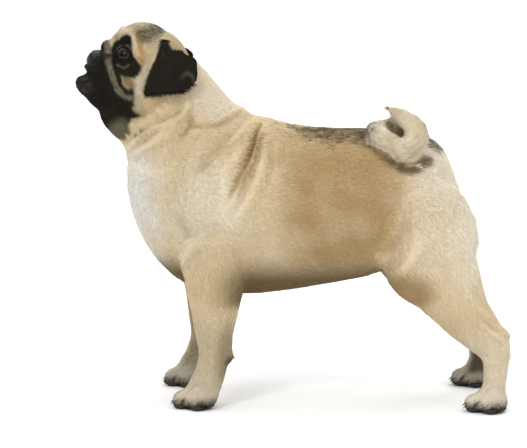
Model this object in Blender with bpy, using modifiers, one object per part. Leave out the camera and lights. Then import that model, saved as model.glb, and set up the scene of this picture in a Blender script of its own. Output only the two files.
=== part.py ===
# A standing pug, life size, as a museum shows it: a solid for each named part of the body.
# Metres, +Z up. The dog faces -X, its left side is towards -Y, and its feet stand on Z = 0.
import math

import bmesh
import bpy
import numpy as np
from mathutils import Matrix, Vector
from mathutils.bvhtree import BVHTree

# Driving sizes
MM = 0.001
FORE_FOOT_SIDE = 0.060      # from the middle of the body to the middle of a fore foot
HIND_FOOT_SIDE = 0.070
FORE_TOE_TIP = -0.1270      # where the longest toes of the left feet end
HIND_TOE_TIP = 0.1720
RIGHT_FORE_AHEAD = 0.0045   # how far the right feet stand ahead of the left ones
RIGHT_HIND_AHEAD = -0.0045
LEG_ROOT = 0.10             # the right legs are set ahead or back fully below the second height
LEG_FREE = 0.03
HEAD_PITCH = math.radians(36)   # how far the face looks up
HEAD_CENTRE = Vector((-0.150, 0.0, 0.335))
EYE_PLACE = (33.5, 30.0, 2.0)   # in the head's frame, millimetres: forward, left, up
EYE_RADIUS = 0.0105
EYE_SLANT = math.radians(50)    # how far each eye looks to its own side
EYE_OPENING = (math.radians(49), math.radians(42))  # half angles, across and up, on the eyeball
LID_RISE = 0.0021           # how far the lids stand over the eyeball
LID_UNDER = 0.0012          # how far the skin sinks under it inside the opening
EAR_THICKNESS = 0.0034
CLAW_LENGTH = 0.0095
CLAW_BACK = 0.0045          # from the tip of its toe to the middle of a claw
CLAW_HEIGHT = 0.0060
CLAW_SLOPE = math.radians(124)  # from upright, so the claws point forward and down
GAP = 0.0003                # between neighbouring solids
SEAT_MARGIN = 0.0005        # round the tail, whose facets are coarse
BODY_GRAIN = 0.0026         # grain at which the forms are fused
HEAD_GRAIN = 0.0015
BODY_TRIANGLES = 4300
HEAD_TRIANGLES = 2950
FAR = 0.6                   # larger than the dog


# Turns a point of the head's own frame (forward, left, up, in millimetres) into the dog's frame.
def on_head(forward, left, up):
    ahead = Vector((-math.cos(HEAD_PITCH), 0, math.sin(HEAD_PITCH)))
    above = Vector((math.sin(HEAD_PITCH), 0, math.cos(HEAD_PITCH)))
    return HEAD_CENTRE + (ahead * forward + Vector((0, -left, 0)) + above * up) * MM


HEAD_TURN = Matrix.Rotation(HEAD_PITCH, 4, "Y")
MIRROR = Matrix.Diagonal((1, -1, 1, 1))


# Adds a form made by a bmesh operator, and its mirror image on the right side where asked.
def add_form(form, operator, place, pair, **sizes):
    operator(form, matrix=place, **sizes)
    if pair:
        made = operator(form, matrix=MIRROR @ place, **sizes)
        faces = list({face for vert in made["verts"] for face in vert.link_faces})
        bmesh.ops.reverse_faces(form, faces=faces)


def ellipsoid(form, centre, radii, turn=Matrix.Identity(4), pair=False, fineness=4):
    place = Matrix.Translation(centre) @ turn @ Matrix.Diagonal((*radii, 1))
    add_form(form, bmesh.ops.create_icosphere, place, pair, subdivisions=fineness, radius=1)


# Points on a smooth line through the given points, a number of steps apart.
def smooth_line(points, steps):
    points = [np.array(point, float) for point in points]
    ends = [2 * points[0] - points[1], *points, 2 * points[-1] - points[-2]]
    line = []
    for a, b, c, d in zip(ends, ends[1:], ends[2:], ends[3:]):
        for k in range(steps):
            t = k / steps
            line.append(0.5 * (2 * b + (c - a) * t + (2 * a - 5 * b + 4 * c - d) * t * t
                               + (3 * b - a - 3 * c + d) * t ** 3))
    return np.array([*line, points[-1]])


# Lofts rings along stations of (x, y, z, half depth, half width). Depth is measured in the
# side view, across the limb, and width from side to side. Upright rings all face along X.
def limb(form, stations, steps=5, sides=28, squareness=2.0, pair=False, upright=False):
    line = smooth_line(stations, steps)
    along = np.gradient(line[:, :3], axis=0)
    if upright:
        along = np.full_like(along, (1, 0, 0))
    along /= np.linalg.norm(along, axis=1)[:, None]
    for side in (1, -1) if pair else (1,):
        rings = []
        for (x, y, z, depth, width), direction in zip(line, along):
            direction = Vector(direction)
            across = Vector((0, 1, 0))
            across = (across - direction * across.dot(direction)).normalized()
            front = across.cross(direction)
            ring = []
            for k in range(sides):
                angle = 2 * math.pi * k / sides
                c, s = math.cos(angle), math.sin(angle)
                c = math.copysign(abs(c) ** (2 / squareness), c)
                s = math.copysign(abs(s) ** (2 / squareness), s)
                point = Vector((x, y, z)) + front * (c * depth) + across * (s * width)
                ring.append(form.verts.new((point.x, point.y * side, point.z)))
            rings.append(ring)
        faces = [form.faces.new(rings[0]), form.faces.new(rings[-1][::-1])]
        for low, high in zip(rings, rings[1:]):
            for k in range(sides):
                n = (k + 1) % sides
                faces.append(form.faces.new((low[k], high[k], high[n], low[n])))
        bmesh.ops.recalc_face_normals(form, faces=faces)


# Chest, ribs, loin and rump, lofted from breast to buttocks: (x, top, bottom, half width).
def trunk(form):
    stations = [
        (-0.1735, 0.254, 0.218, 0.018),
        (-0.1665, 0.262, 0.189, 0.034),
        (-0.150, 0.276, 0.155, 0.053),
        (-0.118, 0.290, 0.123, 0.069),
        (-0.080, 0.295, 0.111, 0.077),
        (-0.040, 0.295, 0.110, 0.080),
        (0.000, 0.286, 0.115, 0.081),
        (0.040, 0.283, 0.122, 0.078),
        (0.075, 0.283, 0.129, 0.072),
        (0.110, 0.278, 0.141, 0.066),
        (0.136, 0.276, 0.150, 0.060),
        (0.156, 0.258, 0.155, 0.048),
        (0.174, 0.214, 0.165, 0.022),
    ]
    limb(form, [(x, 0, (top + low) / 2, (top - low) / 2, wide)
                for x, top, low, wide in stations], squareness=2.15, sides=40, upright=True)


def neck(form):
    limb(form, [
        (-0.156, 0, 0.326, 0.052, 0.044),
        (-0.1405, 0, 0.309, 0.056, 0.049),
        (-0.127, 0, 0.290, 0.059, 0.054),
        (-0.1155, 0, 0.271, 0.0645, 0.061),
        (-0.102, 0, 0.252, 0.0720, 0.068),
        (-0.088, 0, 0.226, 0.0740, 0.070),
    ], sides=36)


def shoulders(form):
    ellipsoid(form, (-0.096, -0.050, 0.208), (0.038, 0.030, 0.060),
              Matrix.Rotation(math.radians(-24), 4, "Y"), pair=True)
    ellipsoid(form, (-0.086, -0.054, 0.155), (0.035, 0.026, 0.042), pair=True)


def fore_legs(form):
    side = -FORE_FOOT_SIDE
    limb(form, [
        (-0.085, side + 0.006, 0.168, 0.034, 0.026),
        (-0.084, side + 0.002, 0.132, 0.032, 0.0245),
        (-0.0840, side, 0.105, 0.0265, 0.0210),
        (-0.0840, side, 0.080, 0.0212, 0.0182),
        (-0.083, side, 0.060, 0.0180, 0.0165),
        (-0.085, side, 0.046, 0.0165, 0.0165),
        (-0.090, side, 0.030, 0.0165, 0.0175),
        (-0.096, side, 0.014, 0.0180, 0.0185),
    ], pair=True)
    # The pad behind the wrist
    ellipsoid(form, (-0.0665, side - 0.001, 0.0545), (0.0058, 0.0065, 0.0048), pair=True)


def hind_legs(form):
    side = -HIND_FOOT_SIDE
    ellipsoid(form, (0.126, -0.044, 0.184), (0.057, 0.030, 0.057),
              Matrix.Rotation(math.radians(20), 4, "Y"), pair=True)
    limb(form, [
        (0.130, side + 0.026, 0.190, 0.054, 0.028),
        (0.139, side + 0.019, 0.152, 0.052, 0.029),
        (0.155, side + 0.012, 0.126, 0.038, 0.025),
        (0.1705, side + 0.005, 0.102, 0.0290, 0.0205),
        (0.1875, side + 0.001, 0.083, 0.0235, 0.0170),
        (0.2030, side, 0.064, 0.0180, 0.0152),
        (0.2045, side, 0.045, 0.0138, 0.0145),
        (0.2035, side, 0.026, 0.0128, 0.0155),
        (0.200, side, 0.012, 0.0145, 0.0175),
    ], pair=True)
    # The point of the hock
    ellipsoid(form, (0.2100, side, 0.078), (0.0095, 0.0095, 0.0105), pair=True)


# Each paw is a low mass with four toes in front, the outer pair set back.
# Each paw: where its toes end, its place to the side, and how far its heel pad lies behind
PAWS = (
    (FORE_TOE_TIP, FORE_FOOT_SIDE, 0.036),
    (HIND_TOE_TIP, HIND_FOOT_SIDE, 0.032),
)
INSTEP_BACK = 0.029
INSTEP_HEIGHT = 0.011
INSTEP_RADII = (0.018, 0.0185, 0.0135)
HEEL_HEIGHT = 0.008
HEEL_RADII = (0.0105, 0.0145, 0.0100)
TOE_HEIGHT = 0.0085
TOE_LENGTH = 0.0125            # half the length of a toe, and half its breadth
TOE_BREADTH = 0.0062
TOE_MIDDLE = 0.012             # from its end to its middle

# Each toe: how far to the side, how far behind the longest, and its half height
TOES = (
    (-0.0150, 0.0160, 0.0098),
    (-0.0053, 0.0000, 0.0108),
    (0.0053, 0.0000, 0.0108),
    (0.0150, 0.0160, 0.0098),
)


def paws(form):
    for tip, side, heel in PAWS:
        ellipsoid(form, (tip + INSTEP_BACK, -side, INSTEP_HEIGHT), INSTEP_RADII, pair=True)
        ellipsoid(form, (tip + heel, -side, HEEL_HEIGHT), HEEL_RADII, pair=True)
        for out, back, height in TOES:
            ellipsoid(form, (tip + back + TOE_MIDDLE, -side + out, TOE_HEIGHT),
                      (TOE_LENGTH, TOE_BREADTH, height), pair=True, fineness=3)


# The masses of the head, in its own frame: centre and radii in millimetres, and whether paired.
def head(form):
    masses = (
        ((4, 0, 3), (41, 50, 44), False),        # back of the skull
        ((20, 0, 5), (36, 40, 40.5), False),     # forehead
        ((0, 29, 25), (25, 21, 19), True),       # crown beside the ears
        ((-8, 38, 22), (17, 12, 15), True),      # root of the ear
        ((3, 33, -16), (36, 23, 33), True),      # cheeks
        ((-12, 0, -46), (40, 37, 27.5), False),  # throat
        ((27, 0, -46), (24, 30, 15), False),     # under the jaw
        ((34, 0, -27), (25, 36, 24), False),     # root of the muzzle
        ((44, 18, -24), (17, 17, 17), True),     # flews
        ((50, 0, -31), (12, 17, 8), False),      # middle of the upper lip
        ((47.5, 0, -4.5), (12.5, 17, 10), False),    # roll above the nose
        ((44, 0, -48), (15.5, 24, 10.5), False),     # chin
        ((40, 19, 16.5), (14, 16, 11), True),    # brows
        ((31, 27, 2), (14, 14, 13), True),       # orbits
        ((52.5, 0, -21), (11.5, 14.5, 12), False),   # nose
    )
    for centre, radii, pair in masses:
        ellipsoid(form, on_head(*centre), [radius * MM for radius in radii], HEAD_TURN, pair)


# The directions from the left eye: where it looks, up, and towards the ear.
def eye_frame():
    ahead = (on_head(1, 0, 0) - on_head(0, 0, 0)).normalized()
    above = (on_head(0, 0, 1) - on_head(0, 0, 0)).normalized()
    axis = ahead * math.cos(EYE_SLANT) + Vector((0, -1, 0)) * math.sin(EYE_SLANT)
    return axis, above, above.cross(axis)


def whole_form():
    form = bmesh.new()
    trunk(form)
    neck(form)
    shoulders(form)
    fore_legs(form)
    hind_legs(form)
    paws(form)
    head(form)
    return form


def object_of(name, form):
    mesh = bpy.data.meshes.new(name)
    form.to_mesh(mesh)
    form.free()
    made = bpy.data.objects.new(name, mesh)
    bpy.context.scene.collection.objects.link(made)
    return made


# Replaces an object's mesh by what its modifiers make of it.
def settle(made):
    graph = bpy.context.evaluated_depsgraph_get()
    mesh = bpy.data.meshes.new_from_object(made.evaluated_get(graph))
    made.modifiers.clear()
    old, made.data = made.data, mesh
    bpy.data.meshes.remove(old)
    return made


def fuse(made, voxel):
    remesh = made.modifiers.new("fuse", "REMESH")
    remesh.mode = "VOXEL"
    remesh.voxel_size = voxel
    return settle(made)


def points_of(mesh):
    points = np.empty(len(mesh.vertices) * 3)
    mesh.vertices.foreach_get("co", points)
    return points.reshape(-1, 3)


def set_points(mesh, points):
    mesh.vertices.foreach_set("co", points.ravel())
    mesh.update()


# Draws each point towards the mean of its neighbours.
def soften(mesh, share, rounds):
    ends = np.empty(len(mesh.edges) * 2, int)
    mesh.edges.foreach_get("vertices", ends)
    a, b = ends.reshape(-1, 2).T
    points = points_of(mesh)
    count = np.bincount(a, minlength=len(points)) + np.bincount(b, minlength=len(points))
    for _ in range(rounds):
        mean = np.empty_like(points)
        for axis in range(3):
            values = points[:, axis]
            mean[:, axis] = (np.bincount(a, values[b], len(points))
                             + np.bincount(b, values[a], len(points)))
        points += share * (mean / count[:, None] - points)
    set_points(mesh, points)


# Raises the skin along a path by a height that fades out across it and towards its ends.
# A negative height makes a crease. The path is given on the left side, and the right follows.
def stroke(mesh, path, width, height, pair=True, open_ends=False):
    path = smooth_line(path, 12)
    points = points_of(mesh)
    normals = np.empty(len(points) * 3)
    mesh.vertices.foreach_get("normal", normals)
    normals = normals.reshape(-1, 3)
    moved = points.copy()
    place = np.linspace(0, 1, len(path))
    fade = np.ones(len(path)) if open_ends else np.sin(np.pi * np.clip(place, 0.03, 0.97)) ** 0.6
    for side in (1, -1) if pair else (1,):
        line = path * (1, side, 1)
        low, high = line.min(0) - 3 * width, line.max(0) + 3 * width
        near = np.flatnonzero(((points > low) & (points < high)).all(1))
        away = np.linalg.norm(points[near, None, :] - line[None], axis=2)
        nearest = away.argmin(1)
        amount = height * fade[nearest] * np.exp(-(away.min(1) / width) ** 2)
        moved[near] += normals[near] * amount[:, None]
    set_points(mesh, moved)


# Puts each point of a side view (x, z) on the left flank of the form.
def on_flank(tree, path):
    placed = []
    for x, z in path:
        hit = tree.ray_cast(Vector((x, -FAR, z)), Vector((0, 1, 0)))[0]
        if hit:
            placed.append(hit)
    return placed


# Puts each point of a front view of the head (left, up, in millimetres) on the face.
def on_face(tree, path):
    placed = []
    for left, up in path:
        start = on_head(200, left, up)
        hit = tree.ray_cast(start, on_head(0, left, up) - start)[0]
        if hit:
            placed.append(hit)
    return placed


def tree_of(made):
    return BVHTree.FromObject(made, bpy.context.evaluated_depsgraph_get())


# Side view of the head (forward, up) to side view of the dog (x, z).
def head_side(path):
    return [(on_head(forward, 0, up).x, on_head(forward, 0, up).z) for forward, up in path]


def carve_face(made):
    mesh = made.data
    tree = tree_of(made)

    def side_stroke(path, width, height):
        stroke(mesh, on_flank(tree, head_side(path)), width * MM, height * MM)

    def front_stroke(path, width, height, pair=True, open_ends=False):
        stroke(mesh, on_face(tree, path), width * MM, height * MM, pair, open_ends)

    # The roll over the nose, with a furrow on each side of it
    front_stroke([(10, 0), (17, -4), (24, -11), (31, -17)], 3.6, 2.4, open_ends=True)
    side_stroke([(40, -13), (31, -18), (20, -24), (8, -28)], 4.5, 2.2)
    front_stroke([(0, -11), (8, -11.5), (16, -15), (24, -23), (32, -31)], 1.8, -2.2, open_ends=True)
    front_stroke([(0, 6), (8, 5.5), (16, 2)], 1.9, -1.2, open_ends=True)
    side_stroke([(44, -8), (36, -11), (26, -14), (17, -18)], 2.0, -1.8)
    # Furrows of the forehead
    front_stroke([(0, 13), (0, 22), (0, 30)], 2.4, -1.8, pair=False)
    front_stroke([(5, 19), (13, 27), (24, 29), (35, 22), (42, 12)], 2.6, -2.2)
    front_stroke([(6, 14), (14, 20), (24, 21), (34, 15), (38, 8)], 2.6, 1.4)
    side_stroke([(38, 26), (28, 19), (20, 9), (15, -4)], 3.0, -2.0)
    side_stroke([(26, 32), (16, 20), (9, 4), (6, -8)], 4.0, 1.2)
    # The mouth, from its middle to its corner
    front_stroke([(0, -37.5), (8, -38.5), (16, -40), (24, -42.5), (30, -45)], 1.9, -3.6,
                 open_ends=True)
    side_stroke([(52, -39.5), (44, -42), (34, -45), (24, -47), (14, -44), (9, -40)], 2.2, -3.4)
    side_stroke([(50, -35), (40, -37), (30, -40), (20, -41)], 3.2, 1.2)
    # The groove of the upper lip and the folds of the cheek
    front_stroke([(0, -30), (0, -34), (0, -37)], 1.4, -1.8, pair=False)
    side_stroke([(16, -36), (6, -44), (0, -52), (-3, -58)], 3.0, -1.8)
    side_stroke([(4, -30), (-4, -40), (-10, -52)], 5.0, 1.2)


# Lays the skin round each eye: sunk under the eyeball inside the opening, raised into lids at
# its rim, and faded into the face beyond.
def carve_lids(made):
    mesh = made.data
    points = points_of(mesh)
    axis, above, aside = [np.array(direction) for direction in eye_frame()]
    for side in (1, -1):
        flip = np.array((1, side, 1))
        away = points * flip - np.array(on_head(*EYE_PLACE))
        reach = np.linalg.norm(away, axis=1)
        near = reach < 2.2 * EYE_RADIUS
        angle = np.arccos(np.clip(away @ axis / reach, -1, 1))
        turn = np.arctan2(away @ above, away @ aside)
        rim = 1 / np.hypot(np.cos(turn) / EYE_OPENING[0], np.sin(turn) / EYE_OPENING[1])
        off = angle / rim
        inside = EYE_RADIUS - LID_UNDER
        lid = EYE_RADIUS + LID_RISE
        level = np.interp(off, (0, 0.86, 1.12, 1.34), (inside, inside, lid, lid))
        share = np.interp(off, (0, 1.34, 1.9), (1, 1, 0)) * near
        share = share * share * (3 - 2 * share)
        wanted = reach + (level - reach) * share
        points += (away * ((wanted / reach - 1) * share.astype(bool))[:, None]) * flip
    set_points(mesh, points)


# The nostrils are small pits, one on each side of the nose, open towards its flank.
def carve_nose(made):
    tree = tree_of(made)
    stroke(made.data, on_face(tree, [(4.4, -20.5), (6.6, -18.9), (9.4, -20.7), (10.8, -22.5)]),
           1.8 * MM, -3.2 * MM, open_ends=True)
    stroke(made.data, on_face(tree, [(0, -17.5), (0, -23.5), (0, -29)]), 1.2 * MM, -1.2 * MM,
           pair=False)


def carve_body(made):
    tree = tree_of(made)
    # Oblique creases of neck and shoulder, the edge of the thigh, the flank, and the hock
    creases = (
        (((-0.170, 0.262), (-0.148, 0.277), (-0.128, 0.297), (-0.112, 0.318)), 4, -2.4),
        (((-0.172, 0.272), (-0.152, 0.288), (-0.134, 0.308)), 4, 1.4),
        (((-0.056, 0.298), (-0.074, 0.284), (-0.096, 0.262)), 5, -2.2),
        (((-0.046, 0.290), (-0.060, 0.268), (-0.082, 0.242)), 5, -1.6),
        (((-0.034, 0.288), (-0.040, 0.262), (-0.052, 0.230), (-0.070, 0.198)), 5, -3.4),
        (((-0.046, 0.276), (-0.054, 0.246), (-0.068, 0.216)), 9, 2.0),
        (((-0.018, 0.266), (-0.024, 0.240)), 5, -1.8),
        (((-0.060, 0.150), (-0.052, 0.128)), 6, -2.0),
        (((0.084, 0.136), (0.104, 0.150), (0.116, 0.176), (0.112, 0.206)), 7, -1.6),
        (((0.178, 0.128), (0.190, 0.110), (0.203, 0.094)), 4, -2.4),
    )
    for path, width, height in creases:
        stroke(made.data, on_flank(tree, path), width * MM, height * MM)


def thin_out(made, triangles):
    count = sum(len(face.vertices) - 2 for face in made.data.polygons)
    thin = made.modifiers.new("thin", "DECIMATE")
    thin.ratio = triangles / count
    thin.use_collapse_triangulate = True
    return settle(made)


# Keeps what lies ahead of a plane, and closes the cut.
def keep_ahead(made, point, normal):
    form = bmesh.new()
    form.from_mesh(made.data)
    cut = bmesh.ops.bisect_plane(
        form, geom=[*form.verts, *form.edges, *form.faces], plane_co=point, plane_no=normal,
        clear_inner=True)
    rim = [piece for piece in cut["geom_cut"] if isinstance(piece, bmesh.types.BMEdge)]
    bmesh.ops.triangulate(form, faces=bmesh.ops.contextual_create(form, geom=rim)["faces"])
    form.to_mesh(made.data)
    form.free()
    keep_largest(made)


# Drops every closed surface but the largest.
def keep_largest(made):
    form = bmesh.new()
    form.from_mesh(made.data)
    left = set(form.verts)
    shells = []
    while left:
        shell = {left.pop()}
        edge = list(shell)
        while edge:
            found = {link.other_vert(vert) for vert in edge for link in vert.link_edges} - shell
            shell |= found
            edge = list(found)
        left -= shell
        shells.append(shell)
    shells.sort(key=len)
    for shell in shells[:-1]:
        bmesh.ops.delete(form, geom=list(shell), context="VERTS")
    form.to_mesh(made.data)
    form.free()


def combine(made, other, operation):
    boolean = made.modifiers.new("combine", "BOOLEAN")
    boolean.object = other
    boolean.operation = operation
    boolean.solver = "EXACT"
    settle(made)
    keep_largest(made)
    return made


# Widens a closed mesh by a margin, so that what is cut by it keeps clear of it.
def widened(made, margin, cutters):
    other = made.copy()
    other.data = made.data.copy()
    other.name = made.name + "_seat"
    normals = np.empty(len(other.data.vertices) * 3)
    other.data.vertices.foreach_get("normal", normals)
    set_points(other.data, points_of(other.data) + margin * normals.reshape(-1, 3))
    as_cutter(other, cutters)
    return other


def as_cutter(made, cutters):
    for holder in list(made.users_collection):
        holder.objects.unlink(made)
    cutters.objects.link(made)
    made.hide_render = True
    made.display_type = "WIRE"
    return made


# Splits a cell off a form: the cell's share becomes a node of its own, a gap away.
def split_off(body, name, cell, cutters):
    as_cutter(cell, cutters)
    node = body.copy()
    node.data = body.data.copy()
    node.name = name
    bpy.context.scene.collection.objects.link(node)
    combine(node, cell, "INTERSECT")
    combine(body, widened(cell, GAP, cutters), "DIFFERENCE")
    return node


# A block ahead of a plane, as large as the dog and more.
def half_space(name, point, normal):
    form = bmesh.new()
    turn = Vector(normal).to_track_quat("Z", "Y").to_matrix().to_4x4()
    bmesh.ops.create_cube(form, size=2 * FAR, matrix=(
        Matrix.Translation(Vector(point) + Vector(normal).normalized() * FAR) @ turn))
    return object_of(name, form)


def block(name, low, high):
    form = bmesh.new()
    centre = [(a + b) / 2 for a, b in zip(low, high)]
    bmesh.ops.create_cube(form, size=1, matrix=Matrix.Translation(centre) @ Matrix.Diagonal(
        (*[b - a for a, b in zip(low, high)], 1)))
    return object_of(name, form)


# A plug through one flank for the root of a leg: round above, and below it runs down to a
# floor between two given places.
def plug(name, centre, radii, inner, side, floor, low_span):
    x, z = centre
    outline = [(x + radii[0] * math.cos(math.pi * k / 16), z + radii[1] * math.sin(math.pi * k / 16))
               for k in range(17)]
    outline += [(low_span[0], floor), (low_span[1], floor)]
    form = bmesh.new()
    corners = [form.verts.new((px, side * inner, pz)) for px, pz in outline]
    face = form.faces.new(corners)
    drawn = bmesh.ops.extrude_face_region(form, geom=[face])["geom"]
    moved = [piece for piece in drawn if isinstance(piece, bmesh.types.BMVert)]
    bmesh.ops.translate(form, verts=moved, vec=(0, side * 0.2, 0))
    bmesh.ops.recalc_face_normals(form, faces=form.faces)
    return object_of(name, form)


def tube(name, points, radii):
    curve = bpy.data.curves.new(name, "CURVE")
    curve.dimensions = "3D"
    curve.bevel_depth = 1
    curve.bevel_resolution = 5
    curve.use_fill_caps = True
    line = curve.splines.new("POLY")
    line.points.add(len(points) - 1)
    for spot, place, radius in zip(line.points, points, radii):
        spot.co = (*place, 1)
        spot.radius = radius
    shape = bpy.data.objects.new(name, curve)
    bpy.context.scene.collection.objects.link(shape)
    graph = bpy.context.evaluated_depsgraph_get()
    mesh = bpy.data.meshes.new_from_object(shape.evaluated_get(graph))
    bpy.data.objects.remove(shape)
    form = bmesh.new()
    form.from_mesh(mesh)
    bmesh.ops.remove_doubles(form, verts=form.verts, dist=0.00001)
    bmesh.ops.recalc_face_normals(form, faces=form.faces)
    bpy.data.meshes.remove(mesh)
    return object_of(name, form)


# The tail rises from the croup and goes over to the left hip, where it curls round once more
# and ends in a point. Each station is (x, y, z, half thickness).
TAIL_ROOT = (
    (0.1180, 0.0000, 0.2540, 0.0150),
    (0.1240, -0.0030, 0.2720, 0.0142),
    (0.1170, -0.0095, 0.2815, 0.0134),
    (0.1035, -0.0185, 0.2835, 0.0128),
    (0.0890, -0.0290, 0.2835, 0.0120),
    (0.0785, -0.0400, 0.2830, 0.0112),
)
TAIL_CURL = (
    (0.0785, -0.0400, 0.2830, 0.0112),
    (0.0895, -0.0490, 0.2765, 0.0098),
    (0.1045, -0.0515, 0.2665, 0.0126),
    (0.1180, -0.0485, 0.2735, 0.0130),
    (0.1185, -0.0430, 0.2860, 0.0122),
    (0.1090, -0.0385, 0.2955, 0.0102),
    (0.1018, -0.0350, 0.3010, 0.0074),
    (0.0955, -0.0330, 0.3050, 0.0038),
    (0.0890, -0.0315, 0.3075, 0.0020),
)
TAIL_STEPS = 5              # points of the centre line to each station
TAIL_GRAIN = 0.0016
TAIL_TRIANGLES = 340


def tail(cutters):
    whole = smooth_line((*TAIL_ROOT, *TAIL_CURL[1:]), TAIL_STEPS)
    joint = TAIL_STEPS * (len(TAIL_ROOT) - 1)
    lengths = []
    for name, line in (("tail_root", whole[:joint + 1]), ("tail_curl", whole[joint:])):
        length = fuse(tube(name, line[:, :3], line[:, 3]), TAIL_GRAIN)
        soften(length.data, 0.5, 4)
        lengths.append(thin_out(length, TAIL_TRIANGLES))
    root, curl = lengths
    seats = [widened(length, SEAT_MARGIN, cutters) for length in lengths]
    combine(root, seats[1], "DIFFERENCE")
    return root, curl, seats


# The left ear as a sheet: its edges in a side view, and how far out from the middle it lies.
EAR_TOP = ((-0.1390, -0.0418, 0.3775), (-0.1285, -0.0485, 0.3665), (-0.1150, -0.0450, 0.3645),
           (-0.1050, -0.0400, 0.3580))
EAR_MIDDLE = ((-0.1475, -0.0530, 0.3520), (-0.1310, -0.0600, 0.3490), (-0.1140, -0.0560, 0.3450),
              (-0.1020, -0.0440, 0.3410))
EAR_LOWER = ((-0.1570, -0.0590, 0.3290), (-0.1370, -0.0635, 0.3290), (-0.1180, -0.0590, 0.3300),
             (-0.1045, -0.0490, 0.3325))
EAR_EDGE = ((-0.1565, -0.0595, 0.3195), (-0.1390, -0.0625, 0.3205), (-0.1225, -0.0590, 0.3225),
            (-0.1110, -0.0520, 0.3275))


def ear(name, side):
    form = bmesh.new()
    rows = [smooth_line(row, 2) for row in (EAR_TOP, EAR_MIDDLE, EAR_LOWER, EAR_EDGE)]
    grid = np.transpose(rows, (1, 0, 2))
    across, down = grid.shape[:2]
    made = bmesh.ops.create_grid(form, x_segments=across - 1, y_segments=down - 1, size=0.5)
    for vert in made["verts"]:
        i = round((vert.co.x + 0.5) * (across - 1))
        j = round((vert.co.y + 0.5) * (down - 1))
        x, y, z = grid[i, j]
        vert.co = (x, side * abs(y), z)
    bmesh.ops.recalc_face_normals(form, faces=form.faces)
    sheet = object_of(name, form)
    wall = sheet.modifiers.new("leather", "SOLIDIFY")
    wall.thickness = EAR_THICKNESS
    wall.offset = 0
    wall.use_even_offset = True
    round_off = sheet.modifiers.new("round", "SUBSURF")
    round_off.levels = 1
    round_off.render_levels = 1
    settle(sheet)
    form = bmesh.new()
    form.from_mesh(sheet.data)
    bmesh.ops.recalc_face_normals(form, faces=form.faces)
    bmesh.ops.triangulate(form, faces=form.faces)
    form.to_mesh(sheet.data)
    form.free()
    return sheet


def eye(name, side):
    form = bmesh.new()
    place = on_head(*EYE_PLACE)
    place.y *= side
    bmesh.ops.create_icosphere(form, subdivisions=3, radius=EYE_RADIUS,
                               matrix=Matrix.Translation(place))
    return object_of(name, form)


# A claw as a short cone in front of its toe, its tip low over the floor.
def claw(tip_x, middle, back):
    form = bmesh.new()
    place = Matrix.Translation((tip_x + back + CLAW_BACK, middle, CLAW_HEIGHT))
    bmesh.ops.create_cone(
        form, cap_ends=True, segments=8, radius1=0.0021, radius2=0.0007, depth=CLAW_LENGTH,
        matrix=place @ Matrix.Rotation(-CLAW_SLOPE, 4, "Y"))
    return object_of("claw", form)


# Joins the four claws of a paw to it by one union.
def add_claws(paw, tip_x, side_place):
    holder = bpy.data.collections.new("claws")
    bpy.context.scene.collection.children.link(holder)
    for out, back, _ in TOES:
        made = claw(tip_x, side_place + out, back)
        bpy.context.scene.collection.objects.unlink(made)
        holder.objects.link(made)
    union = paw.modifiers.new("claws", "BOOLEAN")
    union.operand_type = "COLLECTION"
    union.collection = holder
    union.operation = "UNION"
    union.solver = "EXACT"
    settle(paw)
    for made in list(holder.objects):
        bpy.data.objects.remove(made)
    bpy.data.collections.remove(holder)
    keep_largest(paw)


# Planes between head, neck and trunk: a point on each and the way ahead of it.
HEAD_PLANE = ((-0.1800, 0, 0.2690), (-0.732, 0, 0.681))
NECK_PLANE = ((-0.1700, 0, 0.2300), (-0.473, 0, 0.881))


# The fused body, or the fused head alone at a finer grain.
def body_form():
    made = fuse(object_of("body", whole_form()), BODY_GRAIN)
    soften(made.data, 0.5, 9)
    carve_body(made)
    set_right_feet(made)
    soften(made.data, 0.5, 1)
    return made


# Shifts the right legs along X, more towards the foot.
def set_right_feet(made):
    points = points_of(made.data)
    share = np.clip((LEG_ROOT - points[:, 2]) / (LEG_ROOT - LEG_FREE), 0, 1)
    share *= points[:, 1] > 0
    points[:, 0] -= share * np.where(points[:, 0] < 0, RIGHT_FORE_AHEAD, RIGHT_HIND_AHEAD)
    set_points(made.data, points)


def head_form():
    form = whole_form()
    bmesh.ops.bisect_plane(
        form, geom=[*form.verts, *form.edges, *form.faces], clear_inner=True,
        plane_co=Vector(HEAD_PLANE[0]) + Vector((0.030, 0, -0.030)), plane_no=HEAD_PLANE[1])
    bmesh.ops.holes_fill(form, edges=form.edges)
    made = fuse(object_of("head", form), HEAD_GRAIN)
    soften(made.data, 0.5, 7)
    carve_face(made)
    carve_nose(made)
    carve_lids(made)
    soften(made.data, 0.5, 1)
    return made


def clear_scene():
    for thing in list(bpy.data.objects):
        bpy.data.objects.remove(thing)


# The finish of each kind of surface: colour, roughness
FINISHES = {
    "fawn_coat": ((0.62, 0.47, 0.30), 0.85),
    "black_mask": ((0.025, 0.023, 0.021), 0.80),
    "nose_leather": ((0.012, 0.012, 0.012), 0.35),
    "eyeball": ((0.020, 0.010, 0.006), 0.06),
}


def finish(made, kind):
    colour, roughness = FINISHES[kind]
    material = bpy.data.materials.get(kind) or bpy.data.materials.new(kind)
    material.use_nodes = True
    shader = material.node_tree.nodes["Principled BSDF"]
    shader.inputs["Base Color"].default_value = (*colour, 1)
    shader.inputs["Roughness"].default_value = roughness
    shader.inputs["Metallic"].default_value = 0
    made.data.materials.clear()
    made.data.materials.append(material)
    made.data.shade_smooth()


SIDES = (("left", -1), ("right", 1))


# How far a foot of one side stands ahead of the left one, along X.
def set_back(side, ahead):
    return -ahead if side > 0 else 0.0


# The space that one side's limb takes, from near the middle outwards.
def side_span(side, inner):
    return (inner, 0.13) if side > 0 else (-0.13, -inner)


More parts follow.
